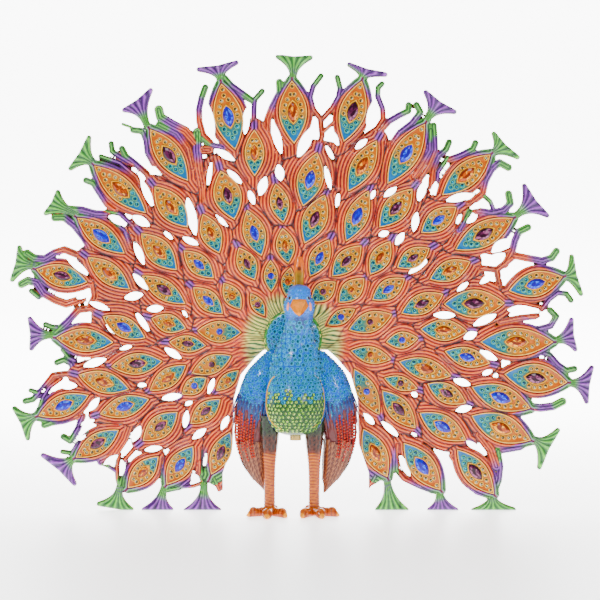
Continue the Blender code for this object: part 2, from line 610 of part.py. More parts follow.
def thinned(points, allowed):
    """An open run of points without those that lie nearer to the rest than is allowed there."""
    if len(points) < 3:
        return [points[0]]
    chord = points[-1] - points[0]
    length = max(np.hypot(*chord), 1e-9)
    offset = points - points[0]
    away = np.abs(offset[:, 0] * chord[1] - offset[:, 1] * chord[0]) / length
    worst = int(np.argmax(away / allowed))
    if away[worst] < allowed[worst]:
        return [points[0]]
    before = thinned(points[:worst + 1], allowed[:worst + 1])
    return before + thinned(points[worst:], allowed[worst:])


def thinned_loop(loop, allowed):
    """A closed outline without the points that its shape doesn't need."""
    opposite = int(np.argmax(np.hypot(*(loop - loop[0]).T)))
    first = thinned(loop[:opposite + 1], allowed[:opposite + 1])
    second = thinned(np.vstack([loop[opposite:], loop[:1]]), np.append(allowed[opposite:], allowed[0]))
    return np.array(first + second)


def allowed_shifts(loops):
    """How far thinning may move each outline: less where the metal or an opening is narrow."""
    places = np.vstack(loops)
    heading = np.vstack([np.roll(loop, -1, axis=0) - np.roll(loop, 1, axis=0) for loop in loops])
    heading = heading / np.maximum(np.hypot(*heading.T), 1e-9)[:, None]
    shifts = []
    for loop in loops:
        first = sum(len(done) for done in shifts)
        here = slice(first, first + len(loop))
        gaps = np.hypot(*(places[here, None] - places[None]).transpose(2, 0, 1))
        facing = heading[here] @ heading.T < 0
        width = np.min(np.where(facing, gaps, np.inf), axis=1)
        shifts.append(np.minimum(OUTLINE_TOLERANCE, width * SHIFT_SHARE))
    return shifts


def signed_area(loop):
    """Area inside a loop, positive when it runs anticlockwise."""
    x, z = loop.T
    return 0.5 * np.sum(x * np.roll(z, -1) - z * np.roll(x, -1))


def fan_outlines():
    """The fan's rim and its openings, each a closed run of points."""
    reach = max(point[1] for tip in FLARED_TIPS + FEET for point in tip) + FIELD_MARGIN
    xs = np.arange(HUB_X - reach, HUB_X + reach, GRID_STEP)
    zs = np.arange(-FIELD_MARGIN, HUB_Z + reach, GRID_STEP)
    loops = zero_loops(fan_field(xs, zs), xs, zs)
    rim = max(loops, key=signed_area)
    kept = [rim] + [loop for loop in loops if signed_area(loop) < -SMALLEST_OPENING]
    return [thinned_loop(loop, allowed) for loop, allowed in zip(kept, allowed_shifts(kept))]


def material(name, colour, metallic, roughness):
    """A plain Principled material."""
    made = bpy.data.materials.new(name)
    made.use_nodes = True
    shader = made.node_tree.nodes["Principled BSDF"]
    shader.inputs["Base Color"].default_value = (*colour, 1.0)
    shader.inputs["Metallic"].default_value = metallic
    shader.inputs["Roughness"].default_value = roughness
    return made


def add_object(name, mesh, finish, collection):
    """Put a mesh into the scene as one named piece."""
    piece = bpy.data.objects.new(name, mesh)
    mesh.materials.clear()
    mesh.materials.append(finish)
    collection.objects.link(piece)
    return piece


def mesh_from(bm, name):
    """Turn a bmesh into a mesh with its faces pointing out."""
    bmesh.ops.recalc_face_normals(bm, faces=bm.faces)
    mesh = bpy.data.meshes.new(name)
    bm.to_mesh(mesh)
    bm.free()
    return mesh


def loft(name, rings):
    """A closed mesh through rings that have the same number of points."""
    bm = bmesh.new()
    rows = [[bm.verts.new(Vector(point) * MM) for point in ring] for ring in rings]
    for low, high in zip(rows, rows[1:]):
        for here in range(len(low)):
            there = (here + 1) % len(low)
            bm.faces.new((low[here], low[there], high[there], high[here]))
    bm.faces.new(rows[0][::-1])
    bm.faces.new(rows[-1])
    return mesh_from(bm, name)


def oval_ring(centre, half_width, half_other, direction, sides):
    """Points of an oval round a centre, square to a direction."""
    direction = Vector(direction).normalized()
    across = Vector((1, 0, 0)) - direction * direction.x
    if across.length < 0.3:
        across = Vector((0, 1, 0)) - direction * direction.y
    across.normalize()
    other = direction.cross(across)
    ring = []
    for step in range(sides):
        turn = math.tau * (step + 0.5) / sides
        ring.append(Vector(centre) + across * (half_width * math.cos(turn))
                    + other * (half_other * math.sin(turn)))
    return ring


def limb(name, centres, half_widths, half_others, sides):
    """A closed tube of changing oval section along a row of centres."""
    rings = []
    for index, centre in enumerate(centres):
        before = Vector(centres[max(index - 1, 0)])
        after = Vector(centres[min(index + 1, len(centres) - 1)])
        rings.append(oval_ring(centre, half_widths[index], half_others[index],
                               after - before, sides))
    return loft(name, rings)


def in_front(shift, depth, height):
    """A place given by its shift from the hub, its depth before the fan and its height."""
    return HUB_X + shift, FAN_FRONT_Y - depth, height


def join_all(target, meshes, operation, cutters):
    """Unite a piece with other meshes, or cut them out of it, one after another."""
    for mesh in meshes:
        tool = bpy.data.objects.new(mesh.name, mesh)
        tool.hide_render = True
        tool.display_type = "WIRE"
        cutters.objects.link(tool)
        boolean = target.modifiers.new(mesh.name, "BOOLEAN")
        boolean.operation = operation
        boolean.solver = "EXACT"
        boolean.object = tool


def fan_plate():
    """The fan's openwork plate as a mesh, from flat outlines given a thickness."""
    points, edges = [], []
    outlines = fan_outlines()
    for outline in outlines:
        first, count = len(points), len(outline)
        points += [Vector(point) for point in outline]
        edges += [(first + here, first + (here + 1) % count) for here in range(count)]
    places, _, faces = delaunay_2d_cdt(points, edges, [], FILL_INSIDE, WELD_DISTANCE)[:3]
    centres = np.array([np.mean([places[corner] for corner in face], axis=0) for face in faces])
    opened = np.any([outline_distance(opening, *centres.T) < 0 for opening in outlines[1:]], axis=0)
    bm = bmesh.new()
    front = [bm.verts.new(Vector((x, FAN_FRONT_Y, z)) * MM) for x, z in places]
    for face, is_open in zip(faces, opened):
        if not is_open:
            bm.faces.new([front[corner] for corner in face])
    grown = bmesh.ops.extrude_face_region(bm, geom=bm.faces[:])["geom"]
    back = [part for part in grown if isinstance(part, bmesh.types.BMVert)]
    bmesh.ops.translate(bm, verts=back, vec=(0, FAN_THICKNESS * MM, 0))
    return mesh_from(bm, "tail_fan")


def foot_block(index, foot):
    """A foot of the fan, flared from front to back as well as sideways."""
    rungs, across = flared_tip_rungs(*foot)
    across = Vector((across[0], 0, across[1]))
    middle_y = FAN_FRONT_Y + FAN_THICKNESS / 2
    rings = []
    for step in FOOT_RUNGS:
        centre, half = rungs[step]
        share = step / TIP_STEPS
        half_depth = (FAN_THICKNESS + (FOOT_DEPTH - FAN_THICKNESS) * share ** TIP_CURVE) / 2
        place = Vector((centre[0], middle_y, max(centre[1], 0.0) if step < TIP_STEPS else 0.0))
        side = across * (half + TIP_ROUNDING / 2)
        side.z = 0.0 if step == TIP_STEPS else side.z
        back = Vector((0, half_depth + TOUCH_GAP, 0))
        rings.append([place - side - back, place + side - back, place + side + back,
                      place - side + back])
    return loft(f"foot block {index}", rings)


def stone_eyes():
    """The eyes of the outer rows, which hold the larger stones in shallow recesses."""
    return [eye for eye in OUTER_EYES + INNER_EYES if eye[1] > STONE_NODE_REACH]


def build_fan(finish, parts, cutters):
    """The cast tail fan with its feet."""
    fan = add_object("tail_fan", fan_plate(), finish, parts)
    join_all(fan, [foot_block(*pair) for pair in enumerate(FEET)], "UNION", cutters)
    recesses = [eye_prism(f"eye recess {index}", eye, EYE_RECESS_SHARE, EYE_RECESS, -EYE_RECESS,
                          RECESS_STEPS)
                for index, eye in enumerate(stone_eyes())]
    join_all(fan, recesses, "DIFFERENCE", cutters)
    flatten = fan.modifiers.new("one face per flat", "DECIMATE")
    flatten.decimate_type = "DISSOLVE"
    flatten.angle_limit = FLAT_ANGLE
    return fan


def body_mesh():
    """The bird's breast, neck and head in one run."""
    centres = [in_front(shift, depth, height) for height, depth, shift, _, _ in BODY_RINGS]
    widths = [ring[3] for ring in BODY_RINGS]
    depths = [ring[4] for ring in BODY_RINGS]
    rings = [oval_ring(centre, width, other, (0, 0, 1), BODY_SIDES)
             for centre, width, other in zip(centres, widths, depths)]
    return loft("bird", rings)


def mantle_mesh():
    """The round mantle that backs the neck and rests against the fan's hub."""
    rings = [oval_ring(in_front(0, depth, HUB_Z + MANTLE_RISE), radius, radius,
                       (0, 1, 0), MANTLE_SIDES) for depth, radius in MANTLE_RINGS]
    return loft("mantle", rings)


def wing_mesh(name, side):
    """One folded wing. The side is -1 for the photo's left and 1 for its right."""
    middle = BODY_RINGS[0][2]
    rings = [oval_ring(in_front(middle + side * out, depth, height), width, other,
                       (0, 0, 1), WING_SIDES)
             for height, depth, out, width, other in WING_RINGS]
    return loft(name, rings)


def leg_mesh(name, shift):
    """A thigh and shank, thick where it leaves the body."""
    rings = [oval_ring(in_front(shift, depth, height), radius, radius, (0, 0, 1), LIMB_SIDES)
             for height, depth, radius in LEG_RINGS]
    return loft(name, rings)


def toe_mesh(name, shift, reach):
    """One toe with a knuckle, lying along the ground from the ankle."""
    ankle_depth = LEG_RINGS[-1][1]
    centres, radii = [], []
    for share, radius in TOE_PROFILE:
        centres.append(in_front(shift + reach[0] * share, ankle_depth + reach[1] * share,
                                radius - SOLE_SINK))
        radii.append(radius)
    return limb(name, centres, radii, radii, TOE_SIDES)


def ground_mesh():
    """A block below the ground that cuts the soles flat."""
    bm = bmesh.new()
    bmesh.ops.create_cube(bm, size=0.2, matrix=Matrix.Translation((0, 0, -0.1)))
    return mesh_from(bm, "ground block")


def build_bird(finish, parts, cutters):
    """The bird: body, head, beak, crest, mantle, wings, legs and toes as one casting."""
    bird = add_object("bird", body_mesh(), finish, parts)
    head_shift = BODY_RINGS[-1][2]
    crest = limb("crest", [in_front(head_shift, depth, height) for height, depth, _, _ in CREST_RINGS],
                 [ring[2] for ring in CREST_RINGS], [ring[3] for ring in CREST_RINGS], LIMB_SIDES)
    beak = limb("beak", [in_front(head_shift, depth, height) for height, depth, _, _ in BEAK_RINGS],
                [ring[2] for ring in BEAK_RINGS], [ring[3] for ring in BEAK_RINGS], LIMB_SIDES)
    pieces = [mantle_mesh(), wing_mesh("left wing", -1), wing_mesh("right wing", 1), crest, beak]
    for name, shift, toes in (("left", LEFT_LEG_X, LEFT_TOES), ("right", RIGHT_LEG_X, RIGHT_TOES)):
        pieces.append(leg_mesh(f"{name} leg", shift))
        pieces += [toe_mesh(f"{name} toe {index}", shift, reach)
                   for index, reach in enumerate(toes)]
    join_all(bird, pieces, "UNION", cutters)
    join_all(bird, [ground_mesh()], "DIFFERENCE", cutters)
    return bird


def build_stud(finish, parts):
    """The small round stud under the bird's belly."""
    height, depth, shift = BODY_RINGS[0][:3]
    top = height - TOUCH_GAP
    bm = bmesh.new()
    centre = Vector(in_front(shift, depth, top - STUD_HEIGHT / 2)) * MM
    bmesh.ops.create_cone(bm, cap_ends=True, segments=16, radius1=STUD_RADIUS * MM,
                          radius2=STUD_RADIUS * MM, depth=STUD_HEIGHT * MM,
                          matrix=Matrix.Translation(centre))
    return add_object("belly_stud", mesh_from(bm, "belly_stud"), finish, parts)


def eye_prism(name, eye, size_share, front, back, steps):
    """A pointed oval block in an eye, from one depth before the fan to another."""
    angle, reach, length, width, lean, _ = eye
    outline = pointed_oval(angle, reach, length * size_share, width * size_share, lean, steps)
    rings = [[(x, FAN_FRONT_Y - depth, z) for x, z in outline] for depth in (back, front)]
    return loft(name, rings)


def stone_mesh(name, eye):
    """A marquise stone: a pointed girdle that narrows to a small flat table."""
    angle, reach, length, _, lean, _ = eye
    stone_length = min(STONE_LONGEST, length * STONE_LENGTH_SHARE)
    stone_width = stone_length * STONE_WIDTH_SHARE
    seat = TOUCH_GAP - EYE_RECESS
    rings = []
    for height, share in ((seat, 1.0), (seat + STONE_GIRDLE_HEIGHT, 1.0),
                          (seat + STONE_HEIGHT, STONE_TABLE_SHARE)):
        outline = pointed_oval(angle, reach, stone_length * share, stone_width * share, lean,
                               STONE_STEPS)
        rings.append([(x, FAN_FRONT_Y - height, z) for x, z in outline])
    return loft(name, rings)


def build_stones(finishes, parts):
    """The centre stones of the outer eyes, each a piece of its own."""
    for count, eye in enumerate(stone_eyes(), start=1):
        name = f"centre_stone_{count:02d}"
        add_object(name, stone_mesh(name, eye), finishes[eye[5]], parts)


def main():
    for old in list(bpy.data.objects):
        bpy.data.objects.remove(old)
    parts = bpy.data.collections.new("peacock_figurine")
    cutters = bpy.data.collections.new("cutters")
    bpy.context.scene.collection.children.link(parts)
    bpy.context.scene.collection.children.link(cutters)
    build_fan(material("coral enamel", ENAMEL_CORAL, 0.3, 0.35), parts, cutters)
    build_bird(material("blue enamel", ENAMEL_BLUE, 0.3, 0.35), parts, cutters)
    build_stud(material("brass", BRASS_COLOUR, 1.0, 0.3), parts)
    finishes = {colour: material(name, colour, 0.0, 0.05) for name, colour in
                (("sapphire glass", SAPPHIRE), ("amethyst glass", AMETHYST),
                 ("topaz glass", TOPAZ))}
    build_stones(finishes, parts)


main()
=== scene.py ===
import math
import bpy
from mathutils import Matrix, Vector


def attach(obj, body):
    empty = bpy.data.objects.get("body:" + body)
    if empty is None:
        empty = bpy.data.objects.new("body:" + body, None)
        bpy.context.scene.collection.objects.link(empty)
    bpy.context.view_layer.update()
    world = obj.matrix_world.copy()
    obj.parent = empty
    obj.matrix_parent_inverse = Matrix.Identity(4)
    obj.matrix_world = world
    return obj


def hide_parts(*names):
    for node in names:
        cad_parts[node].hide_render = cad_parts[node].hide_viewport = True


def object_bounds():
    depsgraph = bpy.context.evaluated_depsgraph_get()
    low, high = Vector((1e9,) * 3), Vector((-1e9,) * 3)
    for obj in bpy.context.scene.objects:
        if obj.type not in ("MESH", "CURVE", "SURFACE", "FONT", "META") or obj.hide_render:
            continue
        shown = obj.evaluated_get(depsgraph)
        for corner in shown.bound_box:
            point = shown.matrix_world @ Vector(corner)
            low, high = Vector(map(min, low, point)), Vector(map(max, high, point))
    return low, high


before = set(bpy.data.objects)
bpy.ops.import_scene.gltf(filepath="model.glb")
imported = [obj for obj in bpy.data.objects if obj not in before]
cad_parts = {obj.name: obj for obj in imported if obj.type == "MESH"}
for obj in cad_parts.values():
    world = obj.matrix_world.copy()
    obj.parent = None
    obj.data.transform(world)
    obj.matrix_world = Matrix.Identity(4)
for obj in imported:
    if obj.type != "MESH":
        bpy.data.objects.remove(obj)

from types import SimpleNamespace

import bmesh
import bpy
import numpy as np
from mathutils import Vector

CAD_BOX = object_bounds()

# Sizes are in millimetres unless a name says otherwise, as in the solid model.
MM = 0.001
HUB_X = -4.95
HUB_Z = 92.3
FAN_FRONT_Y = 14.3
FAN_THICKNESS = 4.0
OUTER_BAND = 3.2
INNER_BAND = 6.4
WEB_REACH = 111.0
LOWER_WEB_REACH = 90.0
LOWER_WEB_DROP = 48.0
FIELD_MARGIN = 4.0
OUTLINE_TOLERANCE = 0.06
CORNER_SHARE = 0.12
EYE_STEPS = 12
SLOT_STEPS = 8
TIP_NECK_WIDTH = 4.0
TIP_ROUNDING = 1.3
TIP_DIP = 0.9
TIP_STEPS = 8
TIP_CURVE = 2.6
ARCH_OFFSET_X = 1.5
ARCH = [(4.5, 17.5), (9, 22.5), (18, 30), (31, 33.8), (56, 34.5), (72, 40), (100, 40)]

# The grids that the fan's relief is worked out on.
SKIN_STEP = 0.42
BACK_STEP = 0.75
GRID_REACH = 165.0
GRID_BOTTOM = -2.0
EYE_REGION = 22.0
FAR_AWAY = 60.0

# The enamel skin is four pieces, cut at these places along X. It leaves out what lies this far
# inside an eye, under its cell. An opening with less area than the smallest is closed.
SKIN_CUTS = (-1e9, -78.0, HUB_X, 68.0, 1e9)
HIDDEN_DEPTH = 1.0
SMALLEST_OPENING = 1.2

# How the fan's relief is laid out, forwards from the core plate's face.
CORE_FACE = 1.6
PLATE_LEVEL = 0.9
CELL_DROP = 0.3
CELL_EDGE = (-0.9, 0.1)
RIDGE_PITCH = 1.9
RIDGE_HEIGHT = 1.0
RIDGE_BASE = 0.65
RIDGE_ROUNDNESS = 0.85
CREASE_WIDTH = 1.1
SHOULDER = 1.3

# The cast back's relief, backwards from the core plate, and its parts as shares of it.
BACK_FACE = 1.2
BACK_BASE = 0.45
BACK_RIM = 0.35
BACK_RIM_WIDTH = 0.8
BACK_LINES = 0.25
BACK_HOLLOW = 0.35

# The fine rays round the bird: where they end, how many there are and how they waver.
RAY_REACH = 33.0
RAY_FADE = 8.0
RAYS = 78
RAY_SHARPNESS = 1.4
RAY_WAVER = 0.045
RAY_WAVER_PITCH = 4.5

SAPPHIRE = "sapphire"
AMETHYST = "amethyst"
TOPAZ = "topaz"

# How the barbs' and flares' ridges run, and the reach beyond which a barb ends in a green tip.
FREE_TIP_REACH = 117.0
BARB_PITCH = 1.5
BARB_BAND = 0.9
BARB_LEAD = 0.4
FLARE_LINES = 5
FLARE_BAND = 1.2
STRAND_ROUNDNESS = 0.7

# Where the enamel's colours change, as ranges: reach from the hub, distance past an eye's tip,
# and distance from a barb's free tip.
SALMON_REACH = (34, 96)
HIGHLIGHT_REACH = (40, 80)
WARM_GROOVE_REACH = (34, 80)
RAY_COLOUR_REACH = (23, 31)
RAY_GROOVE_REACH = (22, 30)
PATCH_REACH = (40, 46)
GREEN_TIP_RUN = (-5.5, -0.5)
BARB_PURPLE_RUN = (12, 18)
BARB_GREEN_RUN = (4.5, 7.5)

# The purple beside an outer eye starts this far from its edge, and comes nearer towards the tip.
PURPLE_START = 1.9
PURPLE_FULL = 2.1
PURPLE_SPREAD = 1.6

# The purple patch over an inner eye's tip: how far past the tip, how long and how wide.
PATCH_RISE = 2.4
PATCH_LENGTH = 3.6
PATCH_WIDTH = 2.4

# Centre stones and the small round stones round them.
STONE_LONGEST = 12.0
STONE_LENGTH_SHARE = 0.36
STONE_WIDTH_SHARE = 0.52
STONE_HEIGHT = 2.3
STONE_FULLNESS = 0.72
CHATON_SPACING = 3.15
CHATON_RADIUS = 0.95
CHATON_HEIGHT = 0.7
CHATON_RING = 0.63
TEAL_CHATON_SHARE = 1.2
CHAMPAGNE_CHATON_SHARE = 1.05
FEWEST_CHATONS = 6
LONG_EYE = 26
TIP_CHATON = 0.405
TEAL_ROOT = 0.13
ROUND_STONE_RADIUS = 1.9
ROUND_STONE_HEIGHT = 1.3
STONE_NODE_REACH = 95.0

# How high a small stone on the bird stands, as a share of its radius.
PAVE_RISE = 0.62

# How far the stones' girdles lie above the cells' floor.
CENTRE_STONE_LIFT = 0.45
ROUND_STONE_LIFT = 0.35
CHATON_LIFT = 0.15

# The cut of a stone: how far in and up its crown facets meet, and its table's share of it.
CROWN_SHARE = 0.84
CROWN_HEIGHT = 0.62
TABLE_SHARE = 0.52

# An enamel cell: how far inside the eye it ends, its points, rings and hollow.
CELL_INSET = 0.9
CELL_STEPS = 16
CELL_RINGS = (1.03, 0.9, 0.75, 0.55, 0.35, 0.15, 0.02)
CELL_HOLLOW = 0.30

# The line round an eye: its lift and inset, then how far out and up each of its edges lies.
RIM_LIFT = 0.25
RIM_INSET = 0.5
RIM_SECTION = ((0.3, -0.2), (0.05, 0.5), (-0.5, 0.45), (-0.75, -0.3))


def srgb(text):
    """A colour from its hex code, as the linear values that shaders use."""
    values = [int(text[i:i + 2], 16) / 255 for i in (1, 3, 5)]
    return tuple(v / 12.92 if v <= 0.04045 else ((v + 0.055) / 1.055) ** 2.4 for v in values)


# The enamels, glass and metal as they look in this light.
CORAL = srgb("#E12F00")
CORAL_DEEP = srgb("#B3231E")
# A painted highlight for the coral ridges' crests.
CORAL_HIGHLIGHT = srgb("#FF9E3B")
SALMON = srgb("#FF4D11")
# A painted highlight for the salmon crests near the hub.
SALMON_HIGHLIGHT = srgb("#FFAE4F")
# Painted shade for the ridges' grooves, the narrow gaps round the eyes and the eye rims' slopes,
# warmer near the hub.
MAROON = srgb("#46161A")
MAROON_WARM_SHADE = srgb("#732722")
PURPLE = srgb("#582B78")
# A painted highlight for purple crests, then painted shade for purple grooves.
PURPLE_HIGHLIGHT = srgb("#D05FF8")
PURPLE_SHADE = srgb("#261037")
GREEN = srgb("#3A8238")
# A painted highlight for green crests, then painted shade for green grooves.
GREEN_HIGHLIGHT = srgb("#8EFF48")
GREEN_SHADE = srgb("#17391E")
RAY_LIGHT = srgb("#FBFF7C")
ORANGE = srgb("#BA5300")
YELLOW = srgb("#CD7700")
TEAL_BLUE = srgb("#0067A5")
TEAL_GREEN = srgb("#2E745D")
RIM_COLOUR = srgb("#FFB630")
GILT_SETTING = srgb("#FEB200")
TEAL_SETTING = srgb("#5FB288")
BLUE = srgb("#0061D3")
BLUE_DEEP = srgb("#1E4CAA")
BLUE_DARK = srgb("#1C2763")
HEAD_BLUE = srgb("#0082FF")
BELLY_GREEN = srgb("#2E562A")
PERIDOT_SETTING = srgb("#376C32")
CYAN_SETTING = srgb("#00B4F2")
GREEN_PALE = srgb("#3EB834")
RIM_GOLD = srgb("#EAAF00")
BROWN = srgb("#522115")
# Painted shade for the crest's hole.
HOLE_SHADE = srgb("#54281B")
MAROON_RED = srgb("#80271E")
FRINGE_DARK = srgb("#312734")
FRINGE_BLUE = srgb("#223E89")
LEG_ORANGE = srgb("#BB5000")
# Painted shade for the grooves of the legs and toes and for the beak's shaded faces, then a painted
# highlight for the legs' fronts and the knuckles.
LEG_SHADE = srgb("#7E2A12")
LEG_HIGHLIGHT = srgb("#D77100")
THIGH_BROWN = srgb("#532515")
THIGH_GREEN = srgb("#1D3419")
CLAW = srgb("#F69900")
BEAK = srgb("#FF9100")
CREST_YELLOW = srgb("#9F7800")
CREST_ORANGE = srgb("#D45B00")
CHEEK_PINK = srgb("#FF8E6B")
# Painted shade for the rays' grooves.
RAY_SHADE = srgb("#3E6B40")
FEATHER_LINE = srgb("#A45E32")
# Painted shade for the hollow along the crest's stem.
CREST_SHADE = srgb("#785A1D")
THIGH_DARK = srgb("#100602")
# Painted shade for the cast back's hollows, and the gold of its raised parts.
BACK_SHADE = srgb("#2A1C0E")
BACK_GOLD = srgb("#866230")
EYE_RING = srgb("#70B4E0")
EYE_DARK = srgb("#14141C")

GILT = srgb("#94703A")
STUD_BRASS = srgb("#D2B06A")
SWEEP_WHITE = srgb("#F4F4F4")
# Each colour's main tone, its painted highlight for the crests and its painted shade for the
# grooves.
PURPLE_TONES = (PURPLE, PURPLE_HIGHLIGHT, PURPLE_SHADE)
GREEN_TONES = (GREEN, GREEN_HIGHLIGHT, GREEN_SHADE)

# The tones that a stone's facets show: in shade, plain and lit.
STONE_TONES = {kind: [srgb(code) for code in codes] for kind, codes in (
    (SAPPHIRE, ("#20008D", "#0000CD", "#286AFF")),
    (AMETHYST, ("#2C0B1E", "#52183D", "#944E74")),
    (TOPAZ, ("#72280F", "#B64800", "#FFA900")),
    ("champagne", ("#362B1B", "#594C34", "#FFFFD5")),
    ("teal", ("#002639", "#1D576E", "#00D4F5")),
    ("peridot", ("#294E1B", "#8AD82F", "#F5FF91")),
    ("sky", ("#1250B1", "#0072D2", "#20E1FF")),
    ("red", ("#7D1012", "#B90100", "#FE5D00")),
)}
CENTRE_STONES = (SAPPHIRE, AMETHYST, TOPAZ)
FACET_CHANCE = 0.28
STONE_JITTER = 0.16

# Each eye feather: angle from straight up and reach from the hub to the eye's middle, the eye's
# length and width, and its lean off the radial line. Degrees and millimetres.
OUTER_EYES = [
    (-147, 72.5, 26, 11, -9), (-137.5, 91.5, 26, 12.5, -8), (-131, 108.5, 24.5, 11.5, -5),
    (-117.5, 120.5, 28.5, 11.5, -5), (-105.5, 130, 30, 12, -7), (-89.5, 113.5, 31.5, 13, 4),
    (-74, 131, 29, 12.5, -2), (-61, 119.5, 32.5, 12, 8), (-48.5, 125.5, 38.5, 13, 1),
    (-33.5, 122, 35, 13.5, -3), (-16, 127.5, 37, 16, 4), (0, 125, 34.5, 15.5, -2),
    (14.5, 129.5, 34.5, 14.5, 2), (31, 119.5, 38.5, 14, 1), (46, 131, 34.5, 13.5, 4),
    (60.5, 119.5, 36, 14, 1), (76.5, 136, 30.5, 14, -1), (90, 122, 40, 15.5, 0),
    (98.5, 134, 35, 16, -1), (105, 117.5, 34.5, 14, 5), (112.5, 123, 35.5, 15.5, 0),
    (125.5, 122.5, 32, 13, 15), (134, 98, 33, 14, 8), (143.5, 75.5, 30, 13, 10),
]

INNER_EYES = [
    (-128.5, 61, 21.5, 10.5, -1), (-122.5, 86, 25, 12.5, -7), (-111, 98.5, 28.5, 12, 4),
    (-106, 71, 24.5, 10.5, -19), (-102, 105.5, 29, 12, 28), (-98, 86, 28.5, 12, 2),
    (-91, 57.5, 20.5, 9.5, 7), (-85, 92.5, 26.5, 11.5, 22), (-81.5, 68.5, 20, 10.5, 8),
    (-69.5, 107, 29, 11.5, 17), (-68, 76, 28.5, 11, 11), (-64, 51.5, 22, 11, 16),
    (-56, 88, 28, 13.5, 12), (-50.5, 66.5, 22.5, 11, 3), (-42, 99, 29, 14, 3),
    (-37, 74, 23.5, 11.5, 14), (-30.5, 49.5, 20, 11, 4), (-24, 87.5, 28, 15.5, 8),
    (-19.5, 63, 26.5, 12.5, 2), (-11.5, 105, 25.5, 11, 11), (-5.5, 76, 22, 10.5, -6),
    (-4.5, 52.5, 20, 10.5, -5), (6, 89, 30.5, 14.5, 9), (10, 68, 29, 13.5, 13),
    (17.5, 48, 23, 11, 10), (21.5, 103, 32, 12.5, 8), (27, 77, 30.5, 12, -3),
    (33.5, 53, 23.5, 12, 10), (37.5, 92, 28, 13.5, 3), (46, 66, 21.5, 11, -15),
    (50, 103.5, 24, 12, 4), (55, 80, 21, 11, 4), (61, 59.5, 21.5, 11, -4),
    (65.5, 94, 24.5, 11.5, 1), (73.5, 73.5, 25.5, 11.5, -8), (78, 101, 33.5, 15.5, 11),
    (85.5, 82.5, 26, 12, 7), (95, 95.5, 26, 11, 10), (101.5, 73.5, 30, 12, 4),
    (108.5, 88.5, 24, 11, 8), (119.5, 94, 30, 13, 1), (122.5, 68.5, 28, 12, 16),
]

# Eyes near the bird, which hold a small round stone.
ROUND_STONE_EYES = [
    (-120.5, 41.5, 17, 7.5, -12), (-114, 59, 16.5, 9.5, -10), (-105.5, 46, 24, 10.5, -8),
    (-82, 40.5, 24.5, 12, -6), (-53, 41.5, 17.5, 9.5, 20), (-43.5, 28, 15, 7, 11),
    (-18.5, 38, 17.5, 8, 17), (-4.5, 33, 16, 8, 14), (31, 32, 17.5, 10.5, 20),
    (48.5, 42.5, 19.5, 11, -2), (62.5, 29.5, 18, 8, -2), (75.5, 43.5, 25.5, 11.5, -5),
    (89, 59.5, 18, 9.5, -6), (99.5, 43, 23, 9.5, 3), (111, 63, 19.5, 8, -3),
    (124, 48.5, 29, 11, 27),
]

